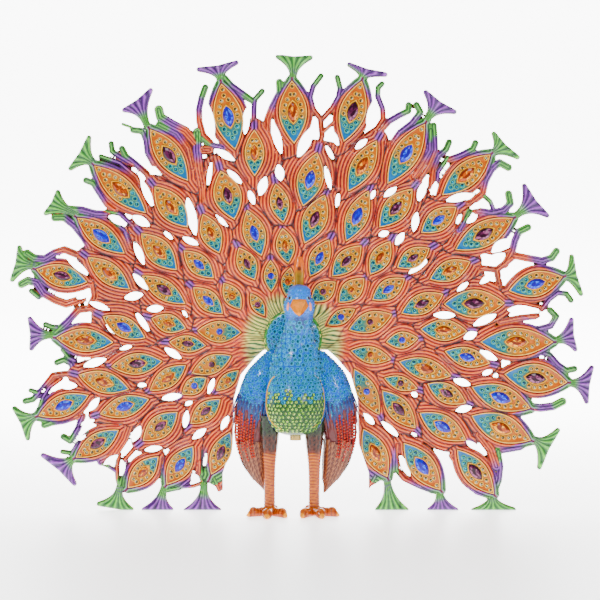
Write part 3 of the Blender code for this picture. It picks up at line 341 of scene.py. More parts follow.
# Pointed slots cut right through the casting: angle, reach, length, width and lean.
SLOTS = [
    (-143.5, 81, 10.5, 2, -28), (-143, 91, 8, 1.5, -22), (-140, 58, 9.5, 3.5, -13),
    (-134.5, 72, 10, 4, 7), (-127.5, 96.5, 11, 3.5, 29), (-127, 117, 10.5, 2.5, -35),
    (-126, 72.5, 11.5, 3.5, -45), (-123, 119, 10.5, 3.5, 0), (-120.5, 66.5, 6, 2.5, 12),
    (-120.5, 99.5, 10.5, 4.5, -33), (-118.5, 51, 11, 3, -41), (-114.5, 73, 12.5, 4, 15),
    (-114.5, 126.5, 7, 2, -11), (-111.5, 121, 9.5, 3, 0), (-107.5, 114.5, 10.5, 4, -33),
    (-106, 86, 6.5, 2.5, 13), (-101, 139, 6.5, 1.5, -44), (-101, 125.5, 11, 4.5, 12),
    (-96, 109, 14.5, 4.5, -12), (-95.5, 66, 12, 4, 38), (-92, 91.5, 8.5, 2.5, -12),
    (-86, 100, 8.5, 2.5, 45), (-83.5, 115, 8, 3.5, -4), (-82.5, 83, 15.5, 3.5, 48),
    (-79.5, 107.5, 13.5, 3.5, 10), (-77.5, 117.5, 9, 3.5, -38), (-76.5, 77.5, 10, 4, -18),
    (-75.5, 61, 6.5, 2, 45), (-74, 90.5, 11.5, 4.5, -28), (-70.5, 125, 19.5, 4, 21),
    (-68.5, 89.5, 13, 4, 26), (-60, 97, 15.5, 4, 37), (-55.5, 117, 11, 3.5, -4),
    (-51.5, 106, 12, 5, -9), (-49.5, 89.5, 8.5, 2.5, 3), (-45.5, 78.5, 11, 3.5, -21),
    (-44.5, 113.5, 19, 4, 21), (-39, 88, 23.5, 5.5, 27), (-30.5, 76.5, 11.5, 2.5, -14),
    (-26.5, 102, 18, 2.5, 35), (-20.5, 129, 22, 4.5, 9), (-20, 108.5, 13.5, 4, -40),
    (-19.5, 95.5, 12.5, 3.5, -27), (-16, 82, 9.5, 3.5, -4), (-12, 123, 16.5, 4, 16),
    (-11, 86.5, 12, 5, 28), (-4.5, 111.5, 20.5, 4.5, -11), (-4.5, 92.5, 10, 5, -5),
    (3.5, 109, 20, 6, 22), (11, 105, 12, 2.5, -39), (11.5, 113.5, 11, 3.5, -37),
    (12, 91.5, 16.5, 3, -25), (17.5, 81, 11.5, 2.5, -11), (19, 114, 9.5, 3.5, 32),
    (19, 130.5, 18.5, 4.5, -7), (28.5, 91.5, 6.5, 2.5, -8), (33, 97.5, 10, 3.5, 22),
    (40, 77, 6.5, 3.5, 33), (40.5, 108, 13, 4.5, -22), (42.5, 113.5, 9.5, 2.5, -21),
    (45.5, 93.5, 12, 4, -36), (46, 81, 9, 4, -13), (49, 120, 16.5, 4.5, 27),
    (53.5, 112.5, 8, 2.5, -31), (53.5, 125, 8.5, 3.5, 17), (55.5, 118.5, 8, 3.5, -2),
    (59, 80, 15.5, 3.5, -5), (65, 124, 11.5, 5, -18), (67.5, 119.5, 13, 4.5, -1),
    (72, 111, 9.5, 3.5, -17), (72, 97.5, 9, 3, -19), (72, 122, 9, 3.5, -38), (80, 84, 13.5, 4, 11),
    (82, 124.5, 13, 5, 9), (83.5, 105.5, 15.5, 4.5, -18), (85, 136, 10, 3.5, -18),
    (88, 97, 8.5, 4.5, -21), (94, 107, 12.5, 4, 24), (99, 107.5, 7, 3, -29), (103.5, 95, 11, 4, 4),
    (111.5, 100.5, 10, 4, -34), (113.5, 72.5, 4.5, 3, 4), (120, 113.5, 9, 3.5, 3),
    (127.5, 83.5, 5, 2, -15), (132, 71.5, 14.5, 3.5, 0), (135.5, 59.5, 9.5, 3.5, 2),
    (138, 91.5, 15, 4, 17),
]

# Barbs and links between the feathers: width, then points of angle and reach from tip to root.
BARBS = [
    (3.5, [(-19, 146.5), (-20.5, 142), (-22, 136.5), (-23, 130.5), (-23.5, 123), (-22.5, 117.5)]),
    (3, [(-7, 137.5), (-9, 133.5), (-9.5, 128.5), (-10.5, 117.5)]),
    (3.5, [(-9.5, 133), (-11.5, 138), (-13.5, 143.5), (-14.5, 148.5)]),
    (4, [(-3, 141.5), (-3, 136), (-5, 128.5), (-6.5, 122), (-7, 114), (-5.5, 105)]),
    (3, [(6, 145.5), (4.5, 139.5), (4, 133.5), (5, 127), (7, 122.5), (8, 113.5), (7.5, 105)]),
    (3, [(9.5, 146), (10.5, 140.5), (10.5, 135.5), (9.5, 129), (7.5, 122.5)]),
    (2.5, [(12, 138.5), (11, 134.5)]),
    (3, [(19, 148.5), (18.5, 146), (19, 141.5), (21, 136), (22, 131), (21.5, 125), (19.5, 119)]),
    (3.5, [(26, 143.5), (26.5, 140.5), (25, 136), (23.5, 131), (22.5, 124.5), (22.5, 119)]),
    (3.5, [(27.5, 145.5), (29, 143), (28.5, 135.5), (27, 128), (26.5, 120.5)]),
    (3.5, [(33, 140.5), (34.5, 136), (36.5, 130), (37.5, 121), (38, 110)]),
    (3.5, [(38, 138), (38.5, 134), (38, 128.5), (39, 121), (41.5, 113.5)]),
    (3.5, [(42.5, 147), (43, 143.5), (42, 137), (40.5, 130.5)]),
    (4, [(51, 151), (49, 149), (49, 143.5), (50, 137), (52, 131), (52, 123.5), (50.5, 116)]),
    (2.5, [(52.5, 131), (54.5, 132), (56.5, 131)]),
    (4, [(55.5, 142.5), (57.5, 140.5), (58, 135.5), (57, 129), (54.5, 123)]),
    (4, [(64, 142.5), (64, 137), (65.5, 133), (67.5, 129.5), (70, 123)]),
    (4, [(71, 152), (72, 148.5), (72, 143), (70.5, 136.5), (68.5, 129)]),
    (3, [(81.5, 153.5), (80, 151.5), (79.5, 147), (80.5, 142), (82.5, 137)]),
    (3.5, [(83, 141.5), (84.5, 144.5), (86.5, 141), (87, 135), (87, 126)]),
    (3.5, [(95.5, 154.5), (96, 150.5), (95, 145.5), (93, 140.5), (92, 133.5)]),
    (4.5, [(102.5, 151), (104, 146.5), (105, 140), (105.5, 132)]),
    (3.5, [(112.5, 141), (115, 137), (117.5, 129)]), (2.5, [(153.5, 90), (150.5, 88), (147, 85)]),
    (2.5, [(134.5, 49), (142.5, 60.5), (148, 69.5), (149.5, 76.5)]),
    (3, [(134.5, 80), (141, 90), (141, 96.5), (139, 104.5), (137, 112)]),
    (3.5, [(118, 127), (121, 132.5), (124, 136), (127, 138)]),
    (4.5, [(125.5, 107.5), (127, 115.5), (129, 121), (129, 130), (128, 136.5)]),
    (2.5, [(-153.5, 90.5), (-151.5, 88), (-148.5, 85)]),
    (2, [(-142, 83), (-145, 89), (-148.5, 93)]),
    (3, [(-142, 87.5), (-143, 94.5), (-142, 101.5), (-139.5, 107)]),
    (2, [(-147.5, 91.5), (-145.5, 96), (-142.5, 100.5)]),
    (2, [(-131, 94.5), (-135, 101), (-138.5, 106.5)]),
    (2, [(-130, 97), (-132.5, 106.5), (-132.5, 118)]),
    (2, [(-125.5, 112), (-128, 119), (-130, 124)]),
    (2.5, [(-123, 113.5), (-125.5, 118.5), (-128, 122), (-130, 124)]),
    (2, [(-122, 125), (-124, 122), (-126.5, 120)]),
    (2.5, [(-114, 122), (-115.5, 131), (-117, 136.5)]),
    (3.5, [(-112.5, 136), (-114, 133.5), (-113, 130), (-112, 127), (-109.5, 122)]),
    (2.5, [(-115.5, 140), (-116.5, 136.5)]),
    (4, [(-108.5, 143.5), (-108.5, 139), (-109, 132.5), (-109, 124.5)]),
    (3.5, [(-102.5, 150), (-102.5, 146), (-101.5, 142), (-100, 137.5), (-98, 132.5),
          (-98, 126.5), (-98.5, 119)]),
    (2.5, [(-100.5, 146), (-101.5, 141.5)]),
    (2.5, [(-105, 144), (-102.5, 140), (-100.5, 135.5), (-99, 128.5)]),
    (3.5, [(-95, 129.5), (-94.5, 125.5), (-95.5, 122), (-98, 120), (-98, 115)]),
    (2.5, [(-92, 126), (-94, 123), (-95, 119.5)]), (3, [(-86, 135.5), (-86.5, 132), (-86.5, 129)]),
    (4, [(-88, 130.5), (-85, 124), (-81.5, 118.5), (-80.5, 111.5), (-81.5, 105.5)]),
    (4.5, [(-78, 151.5), (-77, 148.5), (-77, 143.5), (-79, 138.5), (-80, 132), (-80.5, 125.5),
          (-78.5, 117.5)]),
    (3, [(-79, 145.5), (-80, 141)]),
    (4, [(-71.5, 153), (-72, 148.5), (-71.5, 143), (-69.5, 139), (-68, 134.5), (-68, 127.5),
          (-67.5, 120.5)]),
    (4, [(-62.5, 146.5), (-61.5, 142), (-62, 135), (-63.5, 127.5), (-65.5, 121)]),
    (4, [(-59.5, 143), (-58, 136), (-57, 128.5), (-55.5, 123)]),
    (3.5, [(-52, 143), (-51.5, 139), (-52.5, 132.5), (-53.5, 126), (-53.5, 120.5)]),
    (3, [(-42.5, 146.5), (-43.5, 143), (-43, 137.5), (-42, 130)]),
    (3.5, [(-41.5, 140.5), (-42, 136), (-41.5, 130), (-41, 122), (-41.5, 114.5)]),
    (5, [(-30, 146), (-30.5, 142), (-29, 135.5), (-27, 129), (-26, 120.5)]),
    (3.5, [(-37, 144.5), (-35.5, 141), (-36, 136), (-37.5, 130), (-38, 123.5)]),
    (5, [(-24.5, 125.5), (-26.5, 117), (-28.5, 107), (-30.5, 96.5), (-33.5, 88.5)]),
    (1.5, [(-38, 150.5), (-37, 146.5)]),
    (4, [(-31.5, 139), (-29, 130), (-28.5, 120), (-30, 109.5)]),
    (2.5, [(-46, 145.5), (-44, 135.5), (-43.5, 124), (-45.5, 110)]),
    (4, [(33, 137.5), (35.5, 128), (36, 119), (36, 111)]),
    (2.5, [(65, 116.5), (67, 122), (67, 129)]), (3.5, [(53.5, 119.5), (56, 109.5)]),
    (5.5, [(116.5, 114), (118.5, 123), (121.5, 130.5)]),
    (4.5, [(-115.5, 98), (-120, 106.5), (-122.5, 117), (-122, 124)]),
    (2.5, [(-56, 119.5), (-56.5, 110), (-60, 102)]),
    (3.5, [(-24, 121.5), (-22.5, 116), (-20, 112.5)]), (5, [(-25, 115.5), (-23.5, 114)]),
    (2.5, [(-55, 124), (-53.5, 117.5), (-54, 107.5), (-56, 101.5)]),
    (4, [(-73.5, 114), (-77, 111), (-79.5, 112)]), (3.5, [(68.5, 110), (70.5, 118), (69, 128)]),
    (3.5, [(75.5, 110.5), (74.5, 117), (70.5, 118)]),
    (2.5, [(79.5, 116.5), (80.5, 128), (82, 136.5)]),
    (3.5, [(84.5, 113.5), (84, 124.5), (84, 134)]), (2.5, [(40, 131), (40.5, 121.5), (42, 117.5)]),
    (2.5, [(-123.5, 97), (-124, 105), (-125, 112.5)]), (2, [(8, 115), (9.5, 119), (11, 123)]),
]

# Flared tips of the outer feathers: the neck, then both ends of the flare, as angle and reach.
FLARED_TIPS = [
    ((0, 143), (-3.5, 155.5), (4, 155)), ((-15.5, 147.5), (-19.5, 157), (-11, 155)),
    ((-34, 142), (-36.5, 156), (-29, 157.5)), ((-48, 144), (-44.5, 157.5), (-52.5, 153.5)),
    ((-59.5, 137), (-57, 152), (-63, 152)), ((-73.5, 146), (-70.5, 158), (-78, 157)),
    ((-88.5, 130.5), (-84.5, 144.5), (-92, 143)), ((-106, 144.5), (-103, 157), (-110.5, 154.5)),
    ((-118, 135.5), (-114, 151), (-123.5, 142.5)), ((14.5, 147.5), (11, 154), (19.5, 154)),
    ((31, 141), (27.5, 154), (35.5, 153)), ((46.5, 148.5), (43.5, 157.5), (51, 158.5)),
    ((60.5, 139.5), (55.5, 152), (64, 155)), ((76.5, 151), (72.5, 159), (81, 159.5)),
    ((90, 142), (85, 152.5), (92, 154.5)), ((98.5, 151.5), (94.5, 164), (102, 164)),
    ((112, 141), (108, 153), (117.5, 151.5)),
]

# The lowest six tips are the feet that the fan stands on.
FEET = [
    ((-130, 124), (-129.5, 139.5), (-136.5, 127)), ((-138.5, 106.5), (-138, 124), (-144.5, 113)),
    ((-148, 92), (-147, 110.5), (-157, 100.5)), ((127.5, 137.5), (133.5, 134.5), (127, 153)),
    ((135.5, 114), (141.5, 118), (135.5, 129.5)), ((145.5, 90.5), (154, 102.5), (145.5, 112)),
]

# The bird's body and head from the belly up: height, depth in front of the fan, sideways shift
# from the hub, half width and half depth.
BODY_RINGS = [
    (43.4, 19.5, 1.4, 5.0, 4.6), (45, 19.8, 1.4, 9.8, 8.8), (49, 20.2, 1.4, 14.2, 13.2),
    (55, 20.5, 1.4, 16.6, 15.6), (63, 20, 1.4, 17.0, 15.8), (71, 18.8, 1.4, 16.4, 14.8),
    (78, 16.8, 1.5, 15.4, 13.0), (86, 15.2, 1.8, 13.6, 11.0), (94, 14.8, 2.2, 10.2, 9.4),
    (101, 16, 2.8, 8.2, 8.2), (107, 18.2, 3.3, 8.0, 8.4), (111, 19.6, 3.4, 8.7, 9.0),
    (114.5, 20, 3.4, 8.7, 9.0), (118, 20, 3.4, 6.9, 8.2), (121.6, 19.6, 3.4, 6.4, 6.8),
    (123.4, 19.2, 3.4, 4.6, 4.6),
]

# The round mantle where the body meets the fan: how far its middle lies above the hub, its
# radius, the height and curve of its crown, and how far its edge and rim stand off the fan.
MANTLE_RISE = 2.1
MANTLE_RADIUS = 15.8
MANTLE_CROWN_RADIUS = 15.7
MANTLE_CROWN = 4.6
MANTLE_CURVE = 17.2
MANTLE_TILT = 0.32
MANTLE_STAND_OFF = 0.9
MANTLE_EDGE_DEPTH = 0.4
MANTLE_RIM_DEPTH = 3.0
MANTLE_GREEN = (13.2, 14.6)

# The mantle's rows of stones and its rim of short wires.
MANTLE_STONE_ROWS = (13.0, 10.4, 7.8, 5.2)
MANTLE_STONE_SPACING = 2.65
MANTLE_STONE_RADIUS = 0.98
RIM_WIRES = 24
RIM_WIRE_RADIUS = 0.34

# One wing from the shoulder to the tip: height, depth, distance out from the body's middle,
# half width and half depth.
WING_RINGS = [
    (88, 12.5, 11.5, 4.5, 4.0), (82, 13.0, 14.8, 7.6, 6.4), (75, 13.6, 17.6, 10.2, 8.2),
    (62, 14.2, 20.8, 11.2, 8.6), (50, 14.4, 22.4, 9.8, 7.2), (40, 14.0, 23.4, 8.6, 5.8),
    (32, 13.2, 22.4, 7.6, 4.6), (25, 12.4, 20.8, 6.2, 3.6), (18, 11.6, 18.4, 4.2, 2.6),
    (11.5, 11.0, 15.6, 1.4, 1.4),
]

# How far the enamel lies inside the solid, to leave room for the stones on it.
BODY_INSET = 0.75
WING_INSET = 0.8

# The wing's blue part ends this high, higher on its outer side. Its stones and feathers.
WING_BLUE_END = 53.5
WING_BLUE_RISE = 6.5
COVERT_HEIGHTS = (47, 87.5)
COVERT_SPACING = 1.62
COVERT_RADIUS = 0.62
LONG_FEATHERS = 12
LONG_FEATHER_WIDTH = 2.1
FRINGE_DROPS = (-6.0, -1.0, 4.0)
FRINGE_FEATHERS = 17
FRINGE_WIDTH = 0.95
FRINGE_TAPER = np.array([0.5, 0.9, 1.0, 0.9, 0.8, 0.65, 0.45, 0.25, 0.05])
RED_STRANDS = 11
RED_STONE_PITCH = 1.62

# The crest above the crown: height, depth, half width and half depth.
CREST_RINGS = [(119, 18.0, 2.6, 2.2), (126, 16.6, 2.6, 1.8), (132, 15.6, 3.0, 1.6),
               (136.4, 14.9, 2.7, 1.4), (139, 14.4, 1.4, 1.0)]

# The beak from its root to its tip: height, depth, half width and half height.
BEAK_RINGS = [(112.9, 24.0, 5.0, 4.7), (112.4, 28.6, 4.9, 4.6), (110.9, 31.8, 3.7, 3.4),
              (109.0, 34.0, 1.2, 1.1)]

# The beak's cross-section, and how much painted shade each of its long faces has, most low on the
# right and least on the upper left.
BEAK_SECTION = ((0, 0.92), (0.72, 0.84), (1.0, 0.1), (0.55, -0.6), (0, -1.0), (-0.55, -0.6),
                (-1.0, 0.1), (-0.72, 0.84))
BEAK_PAINTED_SHADE = (0.1, 0.5, 1.0, 0.8, 0.35, 0.15, 0.3, 0.0)
BEAK_RUNGS = 7
CREST_HOLE_Z = 132.6

# The cheek, the eye's ring and the eye: height, radius, how far out, colour and how tall.
FACE_TURN = 47
FACE_SPOTS = ((112.6, 0.9, 0.0, CHEEK_PINK, 2.8), (117.0, 1.35, -0.2, EYE_RING, 1.15),
              (117.0, 0.95, 0.1, EYE_DARK, 1.2))
DOME = ((1.0, 0.0), (0.85, 0.35), (0.5, 0.62), (0.05, 0.72))

# Turns round a body or wing in degrees, and round a leg, toe or crest.
HULL_TURNS = np.arange(0, 360, 7.5)
LIMB_TURNS = np.radians(np.arange(0, 360, 15))

# Thigh and shank down to the ankle: height, depth and radius.
LEG_RINGS = [(54, 17.5, 6.4), (47, 18, 5.4), (39, 18.6, 4.5), (33, 19, 3.8), (27, 19.1, 3.2),
             (18, 19.2, 2.9), (7.5, 19.4, 2.9), (1.2, 19.4, 3.3)]
LEFT_LEG_X = -12.5
RIGHT_LEG_X = 11.4

# Toes: how far each reaches sideways and forward from the ankle, for the left and right foot.
LEFT_TOES = [(-12.4, 4.8), (-1.4, 14.4), (9.6, 9.2), (3.4, -6.0)]
RIGHT_TOES = [(-7.2, 10.4), (4.6, 12.8), (13.8, 4.0), (-4.2, -6.0)]

# The shank's scutes, the height of the tufts above them, and the toes' knuckles.
SCUTE_PITCH = 1.7
SCUTE_HEIGHT = 0.3
TUFT_START = (33, 37)
THIGH_START = (31.5, 37.0)
THIGH_GREEN_START = (41, 46)
KNUCKLE_WAVES = 22

# How thick a toe is along its length: share of its length, radius.
TOE_PROFILE = [(0.0, 2.9), (0.5, 2.5), (0.72, 2.9), (1.0, 1.7)]

# The gilt edge of the breast shell: height, and turn from the front in degrees.
SHELL_EDGE = [(76.5, 40), (73, 58), (66, 68), (58, 68), (51, 56), (47.5, 34)]

# Flares, then feet, in the order of their tables: those whose end is purple and neck green.
PURPLE_TIPS = (1, 2, 6, 8, 9, 10, 12, 14, 15, 18, 19, 21)

# The eyes' stones in the order of their tables: amethyst, sapphire or topaz, by its initial.
OUTER_STONES = "ASTASTASTASTASTASTASTAST"
INNER_STONES = "AASTTAASTTASTSTTAASTATSASTSAATSASTAATSTASA"
ROUND_STONES = "TSASTASTATSASTAS"
INITIALS = {"A": AMETHYST, "S": SAPPHIRE, "T": TOPAZ}
EYES = [(*eye, INITIALS[initial], row)
        for eyes, stones, row in ((OUTER_EYES, OUTER_STONES, "outer"),
                                  (INNER_EYES, INNER_STONES, "inner"),
                                  (ROUND_STONE_EYES, ROUND_STONES, "round"))
        for eye, initial in zip(eyes, stones)]


def smooth(low, high, value):
    """0 below low, 1 above high, and a soft step between them."""
    share = np.clip((value - low) / (high - low), 0, 1)
    return share * share * (3 - 2 * share)


def blend(first, second, share):
    """Mix two colours, or arrays of colours, by a share from 0 to 1."""
    share = np.asarray(share)[..., None]
    return np.asarray(first) * (1 - share) + np.asarray(second) * share


# For each set of metal corners, the cell edges that the outline runs from and to.
CELL_CROSSINGS = {
    1: [("low", "left")], 2: [("right", "low")], 3: [("right", "left")], 4: [("high", "right")],
    5: [("low", "left"), ("high", "right")], 6: [("high", "low")], 7: [("high", "left")],
    8: [("left", "high")], 9: [("low", "high")], 10: [("right", "low"), ("left", "high")],
    11: [("right", "high")], 12: [("left", "right")], 13: [("low", "right")], 14: [("left", "low")],
}


def fan_point(angle, reach):
    """The X and Z of a point given by its angle from straight up and its reach from the hub."""
    turn = math.radians(angle)
    return HUB_X + reach * math.sin(turn), HUB_Z + reach * math.cos(turn)


def pointed_oval(angle, reach, length, width, lean, steps):
    """Outline of a pointed oval in the fan's plane, its long axis near the radial line."""
    centre = np.array(fan_point(angle, reach))
    turn = math.radians(angle + lean)
    along = np.array((math.sin(turn), math.cos(turn)))
    across = np.array((along[1], -along[0]))
    side = []
    for step in range(steps + 1):
        share = step / steps
        swell = math.sin(math.pi * share) ** 0.9 if 0 < step < steps else 0.0
        side.append(((share - 0.5) * length, swell * width / 2))
    back = [(s, -w) for s, w in reversed(side[1:-1])]
    return np.array([centre + along * s + across * w for s, w in side + back])


def flared_tip_rungs(neck, end_a, end_b):
    """Middle points and half widths of a feather tip from its neck to its flared end."""
    root = np.array(fan_point(*neck))
    first = np.array(fan_point(*end_a))
    last = np.array(fan_point(*end_b))
    middle = (first + last) / 2
    span = np.linalg.norm(last - first)
    across = (last - first) / span
    half_neck = TIP_NECK_WIDTH / 2 - TIP_ROUNDING
    half_end = span / 2 - TIP_ROUNDING
    rungs = []
    for step in range(TIP_STEPS + 1):
        share = step / TIP_STEPS
        half = half_neck + (half_end - half_neck) * share ** TIP_CURVE
        rungs.append((root + (middle - root) * share, half))
    return rungs, across


def flared_tip_outline(tip, dip):
    """Outline of a flared feather tip, its end edge hollowed by a small dip."""
    rungs, across = flared_tip_rungs(*tip)
    left = [centre - across * half for centre, half in rungs]
    right = [centre + across * half for centre, half in rungs]
    end, before = rungs[-1][0], rungs[-2][0]
    hollow = end - (end - before) / np.linalg.norm(end - before) * dip
    return np.array(left + [hollow] + right[::-1])


def segment_distance(start, end, x, z):
    """Distance from grid points to one straight segment."""
    edge = end - start
    dx = x - start[0]
    dz = z - start[1]
    share = np.clip((dx * edge[0] + dz * edge[1]) / max(edge @ edge, 1e-9), 0, 1)
    return np.hypot(dx - share * edge[0], dz - share * edge[1])


def outline_distance(outline, x, z):
    """Signed distance from grid points to a closed outline, negative inside."""
    nearest = np.full(x.shape, np.inf)
    inside = np.zeros(x.shape, bool)
    for start, end in zip(outline, np.roll(outline, -1, axis=0)):
        nearest = np.minimum(nearest, segment_distance(start, end, x, z))
        turn = (end[0] - start[0]) * (z - start[1]) - (end[1] - start[1]) * (x - start[0])
        upward = (z >= start[1]) & (z < end[1]) & (turn > 0)
        downward = (z < start[1]) & (z >= end[1]) & (turn < 0)
        inside ^= upward | downward
    return np.where(inside, -nearest, nearest)


def barb_distance(places, x, z):
    """Distance from grid points to a barb's middle line."""
    nearest = np.full(x.shape, np.inf)
    for start, end in zip(places, places[1:]):
        nearest = np.minimum(nearest, segment_distance(start, end, x, z))
    return nearest


def arch_outline():
    """Outline of the open arch under the hub, where the bird stands."""
    centre = HUB_X + ARCH_OFFSET_X
    right = [(centre + half, HUB_Z - drop) for drop, half in ARCH]
    left = [(centre - half, HUB_Z - drop) for drop, half in reversed(ARCH)]
    return np.array(right + left)


def window(points, margin, xs, zs):
    """The part of the grid round some points and a margin: its slices and its coordinates."""
    low = np.min(points, axis=0) - margin
    high = np.max(points, axis=0) + margin
    columns = slice(*np.searchsorted(xs, (low[0], high[0])))
    rows = slice(*np.searchsorted(zs, (low[1], high[1])))
    return ((rows, columns), *np.meshgrid(xs[columns], zs[rows]))


def fan_field(xs, zs):
    """A grid that is negative where the casting has metal and positive where it is open."""
    x, z = np.meshgrid(xs, zs)
    reach_here = np.hypot(x - HUB_X, z - HUB_Z)
    upper_web = np.maximum(reach_here - WEB_REACH, HUB_Z - LOWER_WEB_DROP - z)
    metal = np.minimum(upper_web, reach_here - LOWER_WEB_REACH)

    def add(points, band, distance):
        here, *place = window(points, band + FIELD_MARGIN, xs, zs)
        metal[here] = np.minimum(metal[here], distance(points, *place) - band)

    for eye in OUTER_EYES:
        add(pointed_oval(*eye[:5], EYE_STEPS), OUTER_BAND, outline_distance)
    for eye in INNER_EYES + ROUND_STONE_EYES:
        add(pointed_oval(*eye[:5], EYE_STEPS), INNER_BAND, outline_distance)
    for width, points in BARBS:
        add(np.array([fan_point(*point) for point in points]), width / 2, barb_distance)
    for tip in FLARED_TIPS:
        add(flared_tip_outline(tip, TIP_DIP), TIP_ROUNDING, outline_distance)
    for foot in FEET:
        add(flared_tip_outline(foot, 0.0), TIP_ROUNDING, outline_distance)

    openings = [pointed_oval(*slot, SLOT_STEPS) for slot in SLOTS] + [arch_outline()]
    for outline in openings:
        here, *place = window(outline, FIELD_MARGIN, xs, zs)
        metal[here] = np.maximum(metal[here], -outline_distance(outline, *place))
    return np.maximum(metal, -z)


def edge_key(side, row, column):
    """Name of a cell's edge as (runs along X, row, column), the same from both its cells."""
    if side == "low":
        return True, row, column
    if side == "high":
        return True, row + 1, column
    if side == "left":
        return False, row, column
    return False, row, column + 1


def crossing_point(key, field, xs, zs):
    """The place on a grid edge where the field passes through zero, kept off the edge's ends so
    that outlines never meet there."""
    along_x, row, column = key
    here = field[row, column]
    there = field[row, column + 1] if along_x else field[row + 1, column]
    share = min(max(here / (here - there), CORNER_SHARE), 1 - CORNER_SHARE)
    if along_x:
        return xs[column] + share * (xs[column + 1] - xs[column]), zs[row]
    return xs[column], zs[row] + share * (zs[row + 1] - zs[row])


def zero_loops(field, xs, zs):
    """Closed outlines along which the field is zero, with metal on their left."""
    metal = (field < 0).astype(int)
    corners = metal[:-1, :-1] + 2 * metal[:-1, 1:] + 4 * metal[1:, 1:] + 8 * metal[1:, :-1]
    following = {}
    for row, column in np.argwhere((corners > 0) & (corners < 15)):
        for start, end in CELL_CROSSINGS[corners[row, column]]:
            following[edge_key(start, row, column)] = edge_key(end, row, column)
    loops = []
    while following:
        start, key = following.popitem()
        loop = [start]
        while key != loop[0]:
            loop.append(key)
            key = following.pop(key)
        loops.append(np.array([crossing_point(edge, field, xs, zs) for edge in loop]))
    return loops


def thinned(points):
    """An open run of points without those that lie within the tolerance of the rest."""
    if len(points) < 3:
        return [points[0]]
    chord = points[-1] - points[0]
    offset = points - points[0]
    length = max(np.hypot(*chord), 1e-9)
    away = np.abs(offset[:, 0] * chord[1] - offset[:, 1] * chord[0]) / length
    worst = int(np.argmax(away))
    if away[worst] < OUTLINE_TOLERANCE:
        return [points[0]]
    return thinned(points[:worst + 1]) + thinned(points[worst:])


def thinned_loop(loop):
    """A closed outline without the points that its shape doesn't need."""
    opposite = int(np.argmax(np.hypot(*(loop - loop[0]).T)))
    return np.array(thinned(loop[:opposite + 1])
                    + thinned(np.vstack([loop[opposite:], loop[:1]])))


def signed_area(loop):
    """Area inside a loop, positive when it runs anticlockwise."""
    x, z = loop.T
    return 0.5 * np.sum(x * np.roll(z, -1) - z * np.roll(x, -1))


def update(grids, here, better, values):
    """Put new values into grids, in the window here, wherever they are better."""
    for grid, value in zip(grids, values):
        grid[here] = np.where(better, value, grid[here])


def nearest_eyes(xs, zs):
    """For every grid point: which eye is nearest, how far it and the next one are, and the
    place along and across that eye."""
    shape = (len(zs), len(xs))
    near = np.full(shape, FAR_AWAY)
    second = np.full(shape, FAR_AWAY)
    along = np.zeros(shape)
    across = np.zeros(shape)
    owner = np.full(shape, -1)
    for number, (angle, reach, length, width, lean, *_) in enumerate(EYES):
        outline = pointed_oval(angle, reach, length, width, lean, EYE_STEPS)
        here, x, z = window(outline, EYE_REGION, xs, zs)
        distance = outline_distance(outline, x, z)
        centre = fan_point(angle, reach)
        turn = math.radians(angle + lean)
        u = (x - centre[0]) * math.sin(turn) + (z - centre[1]) * math.cos(turn)
        v = (x - centre[0]) * math.cos(turn) - (z - centre[1]) * math.sin(turn)
        closer = distance < near[here]
        second[here] = np.where(closer, near[here], np.minimum(second[here], distance))
        update((near, along, across, owner), here, closer, (distance, u, v, number))
    return near, second, along, across, owner


def barb_maps(xs, zs):
    """For every grid point: depth inside the nearest barb, distance off its middle line and from
    its tip, and whether that tip is free."""
    shape = (len(zs), len(xs))
    depth = np.full(shape, -9.0)
    off_line = np.full(shape, 9.0)
    from_tip = np.full(shape, 99.0)
    free = np.zeros(shape, bool)
    for width, points in BARBS:
        places = np.array([fan_point(*point) for point in points])
        here, x, z = window(places, width, xs, zs)
        distance = barb_distance(places, x, z)
        inside = width / 2 - distance
        tip_gap = np.hypot(x - places[0][0], z - places[0][1])
        update((depth, off_line, from_tip, free), here, inside > depth[here],
               (inside, distance, tip_gap, points[0][1] > FREE_TIP_REACH))
    return depth, off_line, from_tip, free


def flare_maps(xs, zs):
    """For every grid point: depth inside the nearest flared tip, the share of its half width,
    the share of its length and whether it is purple."""
    shape = (len(zs), len(xs))
    depth = np.full(shape, -9.0)
    side = np.zeros(shape)
    share = np.zeros(shape)
    purple = np.zeros(shape, bool)
    for index, tip in enumerate(FLARED_TIPS + FEET):
        rungs, wide = flared_tip_rungs(*tip)
        outline = flared_tip_outline(tip, TIP_DIP if index < len(FLARED_TIPS) else 0.0)
        here, x, z = window(outline, TIP_ROUNDING, xs, zs)
        inside = TIP_ROUNDING - outline_distance(outline, x, z)
        start, end = rungs[0][0], rungs[-1][0]
        length = np.linalg.norm(end - start)
        axis = (end - start) / length
        run = ((x - start[0]) * axis[0] + (z - start[1]) * axis[1]) / length
        halves = np.interp(run, np.linspace(0, 1, len(rungs)), [half for _, half in rungs])
        off = (x - start[0] - axis[0] * run * length) * wide[0]
        off = off + (z - start[1] - axis[1] * run * length) * wide[1]
        update((depth, side, share, purple), here, inside > depth[here],
               (inside, off / (halves + TIP_ROUNDING), run, index in PURPLE_TIPS))
    return depth, side, share, purple


